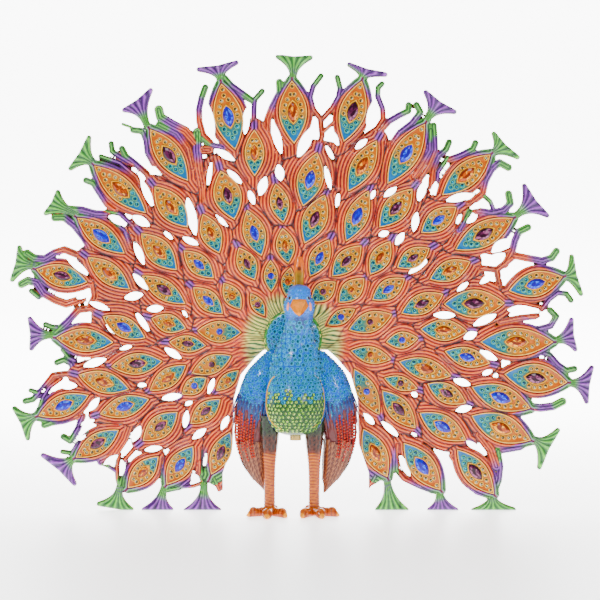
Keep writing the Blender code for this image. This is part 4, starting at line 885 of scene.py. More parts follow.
def relief_zones(xs, zs):
    """What lies at every grid point: its reach and angle, the nearest eye, and the barbs and
    flares that show there."""
    x, z = np.meshgrid(xs, zs)
    at = SimpleNamespace(reach=np.hypot(x - HUB_X, z - HUB_Z),
                            angle=np.arctan2(x - HUB_X, z - HUB_Z))
    at.near, at.second, at.along, at.across, at.owner = nearest_eyes(xs, zs)
    at.lengths = np.array([eye[2] for eye in EYES])[at.owner]
    at.widths = np.array([eye[3] for eye in EYES])[at.owner]
    at.outer = np.array([eye[6] == "outer" for eye in EYES])[at.owner]
    at.band = np.where(at.outer, OUTER_BAND, INNER_BAND) - at.near
    barb_depth, at.barb_off, at.from_tip, at.free = barb_maps(xs, zs)
    flare_depth, at.flare_side, at.flare_share, at.flare_purple = flare_maps(xs, zs)
    at.on_barb = ((barb_depth > 0) & (at.band < BARB_BAND)
                     & (barb_depth > at.band - BARB_LEAD))
    at.on_flare = (flare_depth > 0) & (at.band < FLARE_BAND)
    run = np.clip(at.along / at.lengths + 0.5, 0, 1)
    half = at.widths / 2 * np.sin(np.pi * run) ** 0.9
    at.lines = np.minimum(np.abs(at.across) - half, at.near)
    at.ray_share = (1 - smooth(RAY_REACH - RAY_FADE, RAY_REACH, at.reach)) * smooth(
        0.6, 1.8, at.near)
    return at


def fan_ridges(at):
    """How high the fan's engraved ridges stand, from 0 in a groove to 1 on a crest."""
    ridge = np.abs(np.sin(np.pi * at.lines / RIDGE_PITCH)) ** RIDGE_ROUNDNESS
    ridge = ridge * smooth(0.0, CREASE_WIDTH, at.second - at.near)
    waver = RAY_WAVER * np.sin(at.reach / RAY_WAVER_PITCH + 3 * np.sin(at.angle * 4))
    rays = np.abs(np.cos(RAYS / 2 * (at.angle + waver))) ** RAY_SHARPNESS
    ridge = ridge * (1 - at.ray_share) + rays * at.ray_share
    barb_ridge = np.abs(np.cos(np.pi * at.barb_off / BARB_PITCH)) ** STRAND_ROUNDNESS
    ridge = np.where(at.on_barb, barb_ridge, ridge)
    flare_ridge = np.abs(np.cos(np.pi * at.flare_side * FLARE_LINES / 2)) ** STRAND_ROUNDNESS
    return np.where(at.on_flare, flare_ridge, ridge)


def fan_height(at, ridge, field):
    """Height of the enamel skin above the core plate, lowest inside the eyes' cells."""
    shoulder = np.sin(np.pi / 2 * np.clip(-field / SHOULDER, 0, 1))
    height = shoulder * (RIDGE_BASE + RIDGE_HEIGHT * ridge)
    rim = smooth(*CELL_EDGE, at.near)
    sunk = PLATE_LEVEL - CELL_DROP + (height - PLATE_LEVEL + CELL_DROP) * rim
    return np.where(at.near < 0, sunk, height)


def mixed_tones(tones, others, share):
    """Each of the main colour, the painted crest highlight and the painted groove shade mixed with
    its own other colour.
    """
    return [blend(tone, other, share) for tone, other in zip(tones, others)]


def chosen_tones(tones, others, mask):
    """The other colours where the mask is set, and the first ones elsewhere."""
    return [np.where(mask[..., None], other, tone) for tone, other in zip(tones, others)]


def eye_purple(at, is_outer):
    """How purple the ridges are: beside the tips of outer eyes, and in a patch over inner ones."""
    up = at.along / at.lengths
    spread = PURPLE_SPREAD * smooth(0.1, 0.42, up)
    beside = smooth(-0.02, 0.22, up) * is_outer * smooth(PURPLE_START - spread,
                                                         PURPLE_FULL - spread, at.lines)
    past_tip = at.along - at.lengths / 2
    patch = np.exp(-((past_tip - PATCH_RISE) / PATCH_LENGTH) ** 2
                   - (at.across / PATCH_WIDTH) ** 2) * smooth(*PATCH_REACH, at.reach)
    return np.maximum(beside, smooth(0.2, 0.8, patch)
                      * smooth(0.0, 1.5, at.second - at.near) * ~at.outer)


def fan_tones(at):
    """The main colour, the painted highlight for the crests and the painted shade for the grooves
    of the fan's enamel at every grid point.
    """
    reach = at.reach
    tone = 0.5 + 0.5 * np.sin(at.owner * 2.4 + at.along * 0.22
                              + np.sign(at.across) * 0.9)
    main = blend(CORAL, CORAL_DEEP, tone * 0.7)
    main = blend(main, SALMON, (1 - smooth(*SALMON_REACH, reach)) * 0.85)
    # The light tone is a painted highlight for the crests, and the groove tone is painted shade for
    # the grooves.
    light = blend(CORAL_HIGHLIGHT, SALMON_HIGHLIGHT, 1 - smooth(*HIGHLIGHT_REACH, reach))
    groove = blend(MAROON, MAROON_WARM_SHADE, (1 - smooth(*WARM_GROOVE_REACH, reach)) * 0.85)

    is_outer = at.outer & (at.band > -3.0)
    tones = mixed_tones((main, light, groove), PURPLE_TONES, eye_purple(at, is_outer))
    past_tip = at.along - at.lengths / 2
    green = smooth(*GREEN_TIP_RUN, past_tip) * is_outer * smooth(0.6, 1.2, at.lines)
    tones = mixed_tones(tones, GREEN_TONES, green)
    ray_tones = (blend(RAY_LIGHT, SALMON, smooth(*RAY_COLOUR_REACH, reach)), SALMON_HIGHLIGHT,
                 blend(RAY_SHADE, CORAL_DEEP, smooth(*RAY_GROOVE_REACH, reach)))
    tones = mixed_tones(tones, ray_tones, at.ray_share)

    barb_purple = (1 - smooth(*BARB_PURPLE_RUN, at.from_tip)) * at.free
    barb_green = (1 - smooth(*BARB_GREEN_RUN, at.from_tip)) * at.free
    barb_tones = mixed_tones(mixed_tones(tones, PURPLE_TONES, barb_purple), GREEN_TONES,
                             barb_green)
    tones = chosen_tones(tones, barb_tones, at.on_barb)

    purple = at.flare_purple
    end_main = blend(GREEN, PURPLE, purple)
    end_groove = blend(end_main, blend(GREEN_SHADE, PURPLE_SHADE, purple), 0.6)
    neck_main = blend(blend(PURPLE, GREEN, purple), GREEN, 0.5)
    to_end = smooth(0.30, 0.62, at.flare_share)
    flare_tones = (blend(neck_main, end_main, to_end),
                   blend(GREEN_HIGHLIGHT, PURPLE_HIGHLIGHT, purple * to_end),
                   blend(GREEN_SHADE, end_groove, to_end))
    return chosen_tones(tones, flare_tones, at.on_flare)


def relief_and_colour(xs, zs, field):
    """Height above the core plate and colour of the fan's enamel at every grid point."""
    at = relief_zones(xs, zs)
    ridge = fan_ridges(at)
    height = fan_height(at, ridge, field)
    main, light, groove = fan_tones(at)
    near = at.near
    # Painted shade in the grooves, the main colour on the ridges and a painted highlight on the
    # crests.
    colour = blend(groove, main, smooth(0.30, 0.85, ridge))
    colour = blend(colour, light, smooth(0.86, 1.0, ridge) * 0.50)
    # Painted shade where the relief rolls down to the metal's edge.
    colour = blend(colour, groove, (1 - smooth(0.0, 0.9, -field)) * 0.6)
    # Painted shade in the creases where the ridges of two eyes meet.
    crease_shade = (1 - smooth(0.0, 1.3, at.second - near)) * (near > 0.8)
    colour = colour * (1 - 0.55 * crease_shade)[..., None]
    # Painted shade in the narrow gap round each eye.
    colour = blend(colour, MAROON, (1 - smooth(0.25, 0.75, near)) * 0.75)
    return height, colour, near


def back_relief(xs, zs, field):
    """Height of the cast back over the core plate: hollow behind each eye, with a raised edge
    and shallow lines between."""
    near, second, *_ = nearest_eyes(xs, zs)
    edge = np.sin(np.pi / 2 * np.clip(-field / SHOULDER, 0, 1))
    rim = np.exp(-((near - 0.2) / BACK_RIM_WIDTH) ** 2)
    lines = 0.5 + 0.5 * np.cos(2 * np.pi * near / (2 * RIDGE_PITCH))
    hollow = 1 - smooth(-2.5, -0.3, near)
    body = (BACK_BASE + BACK_RIM * rim + BACK_LINES * lines * smooth(0.5, 1.5, near)
            - BACK_HOLLOW * hollow)
    body = body * (0.6 + 0.4 * smooth(0.0, 1.0, second - near))
    return BACK_FACE * edge * np.clip(body, 0.05, 1.0)


def touched_cells(mask):
    """The cells of a grid that have a marked corner."""
    return mask[:-1, :-1] | mask[1:, :-1] | mask[:-1, 1:] | mask[1:, 1:]


def grid_skin(name, xs, zs, field, height, colour, keep, back=False):
    """The part of a relief skin whose cells are marked to be kept, as a mesh object. Points
    beyond the metal's edge are drawn back onto it."""
    slope_z, slope_x = np.gradient(field, xs[1] - xs[0])
    steep = np.maximum(slope_x ** 2 + slope_z ** 2, 0.3)
    draw = np.clip(field, 0, 1.5) / steep
    x, z = np.meshgrid(xs, zs)
    x = x - draw * slope_x
    z = z - draw * slope_z
    height = np.where(field > 0, 0.0, height)
    used = np.zeros(field.shape, bool)
    for down in (0, 1):
        for right in (0, 1):
            used[down:used.shape[0] - 1 + down, right:used.shape[1] - 1 + right] |= keep
    numbers = np.cumsum(used.ravel()).reshape(used.shape) - 1
    depth = FAN_THICKNESS - BACK_FACE + height[used] if back else CORE_FACE - height[used]
    places = np.stack([x[used], FAN_FRONT_Y + depth, z[used]], axis=1) * MM
    rows, columns = np.nonzero(keep)
    quads = np.stack([numbers[rows, columns], numbers[rows, columns + 1],
                      numbers[rows + 1, columns + 1], numbers[rows + 1, columns]], axis=1)
    return array_mesh(name, places, quads[:, ::-1] if back else quads, colour[used])


def array_mesh(name, places, quads, colours):
    """A smooth mesh object from arrays of places, quads and colours."""
    mesh = bpy.data.meshes.new(name)
    mesh.vertices.add(len(places))
    mesh.vertices.foreach_set("co", places.astype(np.float32).ravel())
    mesh.loops.add(quads.size)
    mesh.loops.foreach_set("vertex_index", quads.astype(np.int32).ravel())
    mesh.polygons.add(len(quads))
    mesh.polygons.foreach_set("loop_start", np.arange(0, quads.size, 4, dtype=np.int32))
    mesh.update(calc_edges=True)
    mesh.polygons.foreach_set("use_smooth", np.ones(len(quads), bool))
    layer = mesh.color_attributes.new("enamel", "FLOAT_COLOR", "POINT")
    rgba = np.concatenate([colours, np.ones((len(places), 1))], axis=1)
    layer.data.foreach_set("color", rgba.astype(np.float32).ravel())
    mesh.validate()
    return placed(name, mesh)


def linked(name, data):
    """A new object in the scene."""
    made = bpy.data.objects.new(name, data)
    bpy.context.scene.collection.objects.link(made)
    return made


def placed(name, mesh):
    """A mesh put into the scene as one piece that moves with the root body. No point of it
    goes beyond the solid model's box."""
    places = np.empty(len(mesh.vertices) * 3)
    mesh.vertices.foreach_get("co", places)
    places = np.clip(places.reshape(-1, 3), CAD_BOX[0], CAD_BOX[1])
    mesh.vertices.foreach_set("co", places.ravel())
    mesh.update()
    piece = linked(name, mesh)
    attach(piece, "root")
    return piece


# Fired enamel shines a little less than plain glass, and metal keeps the usual level.
COAT_ROUGHNESS = 0.06
ENAMEL_SPECULAR = 0.3
METAL_SPECULAR = 0.5
GLASS_ROUGHNESS = 0.05
GLASS_IOR = 1.55


def principled(name, roughness, metallic=0.0, coat=0.0, colour=None):
    """A new material with one Principled shader, and its node tree and shader."""
    made = bpy.data.materials.new(name)
    made.use_nodes = True
    shader = made.node_tree.nodes["Principled BSDF"]
    shader.inputs["Roughness"].default_value = roughness
    shader.inputs["Metallic"].default_value = metallic
    shader.inputs["Coat Weight"].default_value = coat
    shader.inputs["Coat Roughness"].default_value = COAT_ROUGHNESS
    specular = METAL_SPECULAR if metallic else ENAMEL_SPECULAR
    shader.inputs["Specular IOR Level"].default_value = specular
    if colour is not None:
        shader.inputs["Base Color"].default_value = (*colour, 1.0)
    return made, made.node_tree, shader


def node(tree, kind, links=(), **settings):
    """A new shader node with its settings, and its inputs set or linked."""
    made = tree.nodes.new(kind)
    for name, value in settings.items():
        setattr(made, name, value)
    for name, value in links:
        if isinstance(value, bpy.types.NodeSocket):
            tree.links.new(value, made.inputs[name])
        else:
            made.inputs[name].default_value = value
    return made


def enamel_material(name, roughness, grain, strength, coat, metallic):
    """Fired enamel or a patina over cast metal: the painted colour with slight cloudiness and a
    fine uneven surface. The grain is in millimetres."""
    made, tree, shader = principled(name, roughness, metallic=metallic, coat=coat)
    paint = node(tree, "ShaderNodeAttribute", attribute_name="enamel")
    place = node(tree, "ShaderNodeTexCoord")
    cloud = node(tree, "ShaderNodeTexNoise", [("Vector", place.outputs["Object"]),
                                              ("Scale", 1 / (grain * 6 * MM)), ("Detail", 3.0)])
    lift = node(tree, "ShaderNodeMapRange", [("Value", cloud.outputs["Fac"]), ("From Min", 0.3),
                                             ("From Max", 0.7), ("To Min", 0.82),
                                             ("To Max", 1.18)])
    tinted = node(tree, "ShaderNodeVectorMath", [(0, paint.outputs["Color"]),
                                                 (1, lift.outputs["Result"])],
                  operation="MULTIPLY")
    tree.links.new(tinted.outputs["Vector"], shader.inputs["Base Color"])
    fine = node(tree, "ShaderNodeTexNoise", [("Vector", place.outputs["Object"]),
                                             ("Scale", 1 / (grain * MM)), ("Detail", 2.0)])
    bump = node(tree, "ShaderNodeBump", [("Height", fine.outputs["Fac"]),
                                         ("Strength", strength), ("Distance", 0.2 * MM)])
    tree.links.new(bump.outputs["Normal"], shader.inputs["Normal"])
    return made


def gilt_material(name, colour, roughness):
    """Gilt metal with slight wear in its shine."""
    made, tree, shader = principled(name, roughness, metallic=1.0)
    place = node(tree, "ShaderNodeTexCoord")
    wear = node(tree, "ShaderNodeTexNoise", [("Vector", place.outputs["Object"]),
                                             ("Scale", 1 / (1.5 * MM)), ("Detail", 4.0)])
    tint = node(tree, "ShaderNodeMix", [("Factor", wear.outputs["Fac"])], data_type="RGBA")
    for socket_name, value in (("A", [c * 0.7 for c in colour]), ("B", colour)):
        socket = [s for s in tint.inputs if s.name == socket_name and s.type == "RGBA"][0]
        socket.default_value = (*value, 1.0)
    result = [s for s in tint.outputs if s.type == "RGBA"][0]
    tree.links.new(result, shader.inputs["Base Color"])
    shine = node(tree, "ShaderNodeMapRange", [("Value", wear.outputs["Fac"]),
                                              ("To Min", roughness * 0.7),
                                              ("To Max", roughness * 1.6)])
    tree.links.new(shine.outputs["Result"], shader.inputs["Roughness"])
    return made


def glass_material(name):
    """Foil-backed cut glass. Each facet has its own tone, painted shade, plain or a painted glint,
    standing in for the reflections inside the stone.
    """
    made, tree, shader = principled(name, GLASS_ROUGHNESS)
    paint = node(tree, "ShaderNodeAttribute", attribute_name="facet")
    tree.links.new(paint.outputs["Color"], shader.inputs["Base Color"])
    shader.inputs["IOR"].default_value = GLASS_IOR
    return made


class Facets:
    """Collects flat faces with a colour each, and makes one piece of them."""

    def __init__(self):
        self.places = []
        self.faces = []
        self.colours = []

    def add(self, places, faces, colours):
        first = len(self.places)
        self.places += [tuple(place) for place in places]
        self.faces += [tuple(first + corner for corner in face) for face in faces]
        self.colours += colours

    def piece(self, name, material, layer_name="facet", soft=False):
        mesh = bpy.data.meshes.new(name)
        mesh.from_pydata([tuple(c * MM for c in place) for place in self.places], [], self.faces)
        layer = mesh.color_attributes.new(layer_name, "FLOAT_COLOR", "CORNER")
        corner_colours = []
        for face, colour in zip(self.faces, self.colours):
            corner_colours += [value for _ in face for value in (*colour, 1.0)]
        layer.data.foreach_set("color", corner_colours)
        mesh.polygons.foreach_set("use_smooth", [soft] * len(self.faces))
        mesh.materials.append(material)
        return placed(name, mesh)


def ring_faces(rings, count, first=0):
    """Four-sided faces between closed rings of points, with so many points to a ring."""
    faces = []
    for ring in range(rings - 1):
        for index in range(count):
            low = first + ring * count
            ahead = low + (index + 1) % count
            faces.append((low + index, ahead, ahead + count, low + index + count))
    return faces


def local_frame(centre, normal, along):
    """A function that turns (along, across, out) offsets into places."""
    normal = Vector(normal).normalized()
    along = Vector(along)
    along = (along - normal * along.dot(normal)).normalized()
    across = along.cross(normal)
    centre = Vector(centre)
    return lambda u, v, out: centre + along * u + across * v + normal * out


def add_cut_stone(facets, spot, outline, height, tones, dice):
    """A cut stone on a girdle outline of (along, across) points: crown facets and a table.
    Its tones are the colours of its facets in painted shade, plain and with a painted glint."""
    count = len(outline)
    girdle = [spot(u, v, 0.0) for u, v in outline]
    crown = []
    for index in range(count):
        ahead = outline[(index + 1) % count]
        u = (outline[index][0] + ahead[0]) / 2 * CROWN_SHARE
        v = (outline[index][1] + ahead[1]) / 2 * CROWN_SHARE
        crown.append(spot(u, v, height * CROWN_HEIGHT))
    table = [spot(u * TABLE_SHARE, v * TABLE_SHARE, height) for u, v in outline]
    middle = [spot(0, 0, height)]
    faces = []
    colours = []
    # Painted light from one random side: each facet's tone is painted shade, plain or a painted
    # glint.
    lit = dice.uniform(0.2, 1.4)
    for index in range(count):
        ahead = (index + 1) % count
        crown_tip, table_tip, table_ahead = count + index, 2 * count + index, 2 * count + ahead
        faces += [(index, ahead, crown_tip), (ahead, count + ahead, crown_tip),
                  (crown_tip, table_ahead, table_tip), (crown_tip, count + ahead, table_ahead),
                  (table_tip, table_ahead, 3 * count)]
        side = 0.5 + 0.5 * math.cos(math.tau * index / count - lit)
        for glow in (0.8 * side, side, 0.15 + side, 0.15 + side, 0.95 - side):
            shine = glow + dice.normal(0, FACET_CHANCE)
            colours.append(tones[0] if shine < 0.5 else tones[1] if shine < 1.0 else tones[2])
    facets.add(girdle + crown + table + middle, faces, colours)


def add_setting(facets, spot, outline, wall, height, colour):
    """A thin gilt collar round a stone's girdle outline, with painted shade on its outer slope and
    a little on its inner edge.
    """
    rings = []
    for share, out in ((1 + wall * 2.0, -0.35), (1 + wall, height), (1.0, height),
                       (0.94, height * 0.3)):
        rings += [spot(u * share, v * share, out) for u, v in outline]
    count = len(outline)
    # Painted shade: darkest on the outer slope, a little on the inner edge, full colour on top.
    low, top, inner = [tuple(c * shade for c in colour) for shade in (0.35, 1.0, 0.7)]
    facets.add(rings, ring_faces(4, count), [low] * count + [top] * count + [inner] * count)


def round_outline(radius, sides):
    """Points of a circle as (along, across)."""
    return [(radius * math.cos(math.tau * k / sides), radius * math.sin(math.tau * k / sides))
            for k in range(sides)]


def oval_outline(length, width, steps, fullness=0.9):
    """Points of a pointed oval as (along, across)."""
    side = [(length * (k / steps - 0.5), width / 2 * math.sin(math.pi * k / steps) ** fullness)
            for k in range(1, steps)]
    return ([(-length / 2, 0.0)] + side + [(length / 2, 0.0)]
            + [(u, -v) for u, v in reversed(side)])


def path_lengths(points):
    """How far along a path each of its points lies."""
    steps = np.linalg.norm(np.diff(points, axis=0), axis=1)
    return np.concatenate([[0], np.cumsum(steps)])


def eye_spot(eye, level):
    """A placing function for an eye feather, at a level above the core plate."""
    angle, reach, _, _, lean, *_ = eye
    x, z = fan_point(angle, reach)
    turn = math.radians(angle + lean)
    return local_frame((x, FAN_FRONT_Y + CORE_FACE - level, z), (0, -1, 0),
                       (math.sin(turn), 0, math.cos(turn)))


def plate_colour(u, v, eye):
    """The enamel of an eye's cell: teal at the root, then green, then orange to yellow."""
    length = eye[2]
    share = u / length
    warm = blend(YELLOW, ORANGE, smooth(-0.05, 0.35 if eye[6] == "outer" else 0.55, share))
    cool = blend(TEAL_BLUE, TEAL_GREEN, smooth(-0.36, -0.12, share))
    return blend(cool, warm, smooth(-0.13, 0.02, share + 0.02 * math.sin(v * 1.3)))


def build_eye_plates():
    """The enamel cells inside all eyes, slightly hollow, in one piece."""
    places, quads, colours = [], [], []
    for eye in EYES:
        spot = eye_spot(eye, PLATE_LEVEL)
        outline = oval_outline(eye[2] - CELL_INSET, eye[3] - CELL_INSET, CELL_STEPS)
        quads += ring_faces(len(CELL_RINGS), len(outline), len(places))
        for share in CELL_RINGS:
            dish = CELL_HOLLOW * smooth(0.6, 1.0, share)
            for u, v in outline:
                places.append(spot(u * share, v * share, dish))
                colours.append(plate_colour(u * share, v * share, eye))
    return array_mesh("eye_cells", np.array(places) * MM, np.array(quads), np.array(colours))


def build_eye_rims(material):
    """The thin pale line round each eye, between two slopes in painted shade."""
    facets = Facets()
    for eye in EYES:
        spot = eye_spot(eye, PLATE_LEVEL + RIM_LIFT)
        outline = oval_outline(eye[2] - RIM_INSET, eye[3] - RIM_INSET, CELL_STEPS)
        rings = []
        for inset, out in RIM_SECTION:
            wide = 1 + 2 * inset / eye[3]
            long = 1 + 2.6 * inset / eye[2]
            rings += [spot(u * long, v * wide, out) for u, v in outline]
        count = len(outline)
        # Painted shade on the two slopes; the pale line on top keeps its own colour.
        facets.add(rings, ring_faces(len(RIM_SECTION), count),
                   [MAROON] * count + [RIM_COLOUR] * count + [MAROON] * count)
    return facets.piece("eye_rims", material, "enamel", soft=True)


def chaton_places(eye):
    """Where the small stones of an eye lie, as (along, across, is it at the teal root)."""
    _, _, length, width, *_ = eye
    dense = oval_outline(length * CHATON_RING, width * CHATON_RING, 40)
    points = np.array(dense + dense[:1])
    runs = path_lengths(points)
    count = max(FEWEST_CHATONS, int(round(runs[-1] / CHATON_SPACING)))
    spots = []
    for index in range(count):
        run = runs[-1] * index / count
        u = np.interp(run, runs, points[:, 0])
        v = np.interp(run, runs, points[:, 1])
        spots.append((u, v, u < -TEAL_ROOT * length))
    if length > LONG_EYE:
        spots.append((TIP_CHATON * length, 0.0, False))
    return spots


def build_eye_stones(glass, setting):
    """Centre stones by colour, small stones and all their settings."""
    dice = np.random.default_rng(7)
    centres = {name: Facets() for name in CENTRE_STONES}
    small = Facets()
    settings = Facets()
    for eye in EYES:
        name = eye[5]
        if eye[6] == "round":
            spot = eye_spot(eye, PLATE_LEVEL + ROUND_STONE_LIFT)
            outline = round_outline(ROUND_STONE_RADIUS, 10)
            height = ROUND_STONE_HEIGHT
        else:
            spot = eye_spot(eye, PLATE_LEVEL + CENTRE_STONE_LIFT)
            length = min(STONE_LONGEST, eye[2] * STONE_LENGTH_SHARE)
            outline = oval_outline(length, length * STONE_WIDTH_SHARE, 8, STONE_FULLNESS)
            height = STONE_HEIGHT * length / STONE_LONGEST
        add_cut_stone(centres[name], spot, outline, height, STONE_TONES[name], dice)
        add_setting(settings, spot, outline, 0.09, 0.28, GILT_SETTING)
        floor_spot = eye_spot(eye, PLATE_LEVEL + CHATON_LIFT)
        for u, v, teal in chaton_places(eye):
            def near_spot(du, dv, out, u=u, v=v):
                return floor_spot(u + du, v + dv, out)
            tones = STONE_TONES["teal" if teal else "champagne"]
            radius = CHATON_RADIUS * (TEAL_CHATON_SHARE if teal else CHAMPAGNE_CHATON_SHARE)
            add_cut_stone(small, near_spot, round_outline(radius, 7), CHATON_HEIGHT, tones, dice)
            add_setting(settings, near_spot, round_outline(radius, 8), 0.28, 0.3,
                        TEAL_SETTING if teal else GILT_SETTING)
    pieces = {name: centres[name].piece(f"{name}_centre_stones", glass) for name in CENTRE_STONES}
    small.piece("small_eye_stones", glass)
    settings.piece("eye_stone_settings", setting, "enamel")
    return pieces


def build_core(xs, zs, field, material):
    """The fan's gilt plate under the enamel, with the true outline of every opening."""
    loops = zero_loops(field, xs, zs)
    rim = max(loops, key=signed_area)
    openings = [loop for loop in loops if signed_area(loop) < -SMALLEST_OPENING]
    curve = bpy.data.curves.new("fan_core", "CURVE")
    curve.dimensions = "2D"
    curve.fill_mode = "BOTH"
    thickness = FAN_THICKNESS - CORE_FACE - BACK_FACE
    curve.extrude = thickness / 2 * MM
    for loop in [rim] + openings:
        outline = thinned_loop(loop)
        spline = curve.splines.new("POLY")
        spline.points.add(len(outline) - 1)
        for point, (x, z) in zip(spline.points, outline):
            point.co = (x * MM, z * MM, 0, 1)
        spline.use_cyclic_u = True
    flat = linked("fan_core_outline", curve)
    flat.rotation_euler.x = math.pi / 2
    flat.location.y = (FAN_FRONT_Y + CORE_FACE + thickness / 2) * MM
    bpy.context.view_layer.update()
    evaluated = flat.evaluated_get(bpy.context.evaluated_depsgraph_get())
    mesh = bpy.data.meshes.new_from_object(evaluated)
    mesh.transform(flat.matrix_world)
    bpy.data.objects.remove(flat)
    mesh.materials.clear()
    mesh.materials.append(material)
    return placed("fan_core", mesh)


def fan_grid(step):
    """The grid lines over the whole fan along X and Z, and the fan's field on them."""
    xs = np.arange(HUB_X - GRID_REACH, HUB_X + GRID_REACH, step)
    zs = np.arange(GRID_BOTTOM, HUB_Z + GRID_REACH, step)
    return xs, zs, fan_field(xs, zs)


def build_fan(materials):
    """The whole tail fan: core, enamel skin, back, cells, rims and stones."""
    xs, zs, field = fan_grid(SKIN_STEP)
    core = build_core(xs, zs, field, materials["gilt"])
    height, colour, near = relief_and_colour(xs, zs, field)
    shown = touched_cells(field < 0) & touched_cells(near >= -HIDDEN_DEPTH)
    middles = (xs[:-1] + xs[1:]) / 2
    for index, (low, high) in enumerate(zip(SKIN_CUTS, SKIN_CUTS[1:]), start=1):
        keep = shown & ((middles >= low) & (middles < high))[None, :]
        skin = grid_skin(f"fan_enamel_{index}", xs, zs, field, height, colour, keep)
        skin.data.materials.append(materials["enamel"])
    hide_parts("tail_fan")

    xs, zs, field = fan_grid(BACK_STEP)
    height = back_relief(xs, zs, field)
    # Painted shade in the back's hollows, gold on its raised parts.
    patina = blend(BACK_SHADE, BACK_GOLD, smooth(0.15, 0.85, height / BACK_FACE))
    back = grid_skin("fan_back", xs, zs, field, height, patina, touched_cells(field < 0), True)
    back.data.materials.append(materials["back"])
    cells = build_eye_plates()
    cells.data.materials.append(materials["cell"])
    build_eye_rims(materials["rim"])
    stones = build_eye_stones(materials["glass"], materials["setting"])
    nodes = {name: [] for name in CENTRE_STONES}
    held = [eye for eye in EYES if eye[6] != "round" and eye[1] > STONE_NODE_REACH]
    for count, eye in enumerate(held, start=1):
        nodes[eye[5]].append(f"centre_stone_{count:02d}")
    for name, piece in stones.items():
        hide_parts(*nodes[name])


class Sheets:
    """Collects smooth grids of points with a colour at each, and makes one piece of them."""

    def __init__(self):
        self.places = []
        self.quads = []
        self.colours = []
        self.count = 0

    def add(self, grid, colours, wrap=False):
        grid = np.asarray(grid, float)
        rows, columns = grid.shape[:2]
        numbers = self.count + np.arange(rows * columns).reshape(rows, columns)
        if wrap:
            numbers = np.concatenate([numbers, numbers[:, :1]], axis=1)
        self.quads.append(np.stack([numbers[:-1, :-1], numbers[:-1, 1:], numbers[1:, 1:],
                                    numbers[1:, :-1]], axis=-1).reshape(-1, 4))
        self.places.append(grid.reshape(-1, 3))
        self.colours.append(np.broadcast_to(colours, grid.shape).reshape(-1, 3))
        self.count += rows * columns

    def piece(self, name, material):
        made = array_mesh(name, np.concatenate(self.places) * MM, np.concatenate(self.quads),
                          np.concatenate(self.colours))
        made.data.materials.append(material)
        return made


def eased(rows, count):
    """Rows of a table read off smooth curves at evenly spaced places."""
    table = np.array(rows, float)
    slopes = np.gradient(table, axis=0)
    result = []
    for place in np.linspace(0, len(table) - 1, count):
        index = min(int(place), len(table) - 2)
        t = place - index
        first, last = table[index], table[index + 1]
        a, b = slopes[index], slopes[index + 1]
        result.append((2 * t ** 3 - 3 * t ** 2 + 1) * first + (t ** 3 - 2 * t ** 2 + t) * a
                      + (3 * t ** 2 - 2 * t ** 3) * last + (t ** 3 - t ** 2) * b)
    return np.array(result)


class Hull:
    """A smooth body of oval sections: rows of height, depth, shift, half width, half depth."""

    def __init__(self, rows, inset=0.0):
        self.rows = eased(rows, 160)
        self.rows[:, 3:] = np.maximum(self.rows[:, 3:] - inset, 0.3)

    def place(self, t, turn, out=0.0):
        """A place at share t of the height and a turn from the front, in degrees."""
        row = [np.interp(t, np.linspace(0, 1, len(self.rows)), column)
               for column in self.rows.T]
        height, depth, shift, half_width, half_depth = row
        a = np.radians(turn)
        return np.stack([HUB_X + shift + (half_width + out) * np.sin(a),
                         FAN_FRONT_Y - depth - (half_depth + out) * np.cos(a),
                         height + 0 * a], axis=-1)

    def normal(self, t, turn):
        """The direction straight out of the surface."""
        up = self.place(min(t + 0.01, 1.0), turn) - self.place(max(t - 0.01, 0.0), turn)
        side = self.place(t, turn + 2) - self.place(t, turn - 2)
        out = np.cross(side, up)
        return out / np.linalg.norm(out)

    def grid(self, low, high, count, turns, out=0.0):
        """Rows of places between two shares of the height."""
        turns = np.asarray(turns, float)
        return np.array([self.place(np.full(len(turns), t), turns, out)
                         for t in np.linspace(low, high, count)])


BODY = Hull(BODY_RINGS, BODY_INSET)


def stone_spots(hull, low, high, turn_low, turn_high, spacing, dice):
    """Staggered (share, turn) spots over part of a hull, each a little out of line."""
    spots = []
    shares = np.linspace(low, high, 400)
    turns = np.linspace(turn_low, turn_high, 90)
    runs = path_lengths(hull.place(shares, np.zeros(len(shares))))
    rows = max(1, int(runs[-1] / (spacing * 0.87)))
    for row in range(rows + 1):
        t = float(np.interp(runs[-1] * row / rows, runs, shares))
        along = path_lengths(hull.place(np.full(len(turns), t), turns))
        count = max(1, int(along[-1] / spacing))
        for index in range(count):
            run = along[-1] * (index + 0.25 + 0.5 * (row % 2)) / count
            run = run + spacing * dice.uniform(-STONE_JITTER, STONE_JITTER)
            rise = (shares[-1] - shares[0]) / rows * dice.uniform(-STONE_JITTER, STONE_JITTER)
            spots.append((min(max(t + rise, 0.0), 1.0), float(np.interp(run, along, turns))))
    return spots


def add_pave(stones, settings, hull, spots, radius, sides, stone_at, dice):
    """Small cut stones in collars at spots of a hull. What stone_at gives for a place is the
    kind of stone, and its collar's colour or None."""
    for t, turn in spots:
        place = hull.place(t, turn, 0.05)
        spot = local_frame(place, hull.normal(t, turn), (0, 0.2, 1))
        kind, ring = stone_at(float(place[2]), turn)
        outline = round_outline(radius, sides)
        add_cut_stone(stones, spot, outline, radius * PAVE_RISE, STONE_TONES[kind], dice)
        if ring is not None:
            add_setting(settings, spot, round_outline(radius, sides + 1), 0.24, 0.22, ring)


def share_at(hull, height):
    """The share of a hull's rows at which it has some height."""
    heights = hull.rows[:, 0]
    order = np.argsort(heights)
    return float(np.interp(height, heights[order], np.linspace(0, 1, len(heights))[order]))


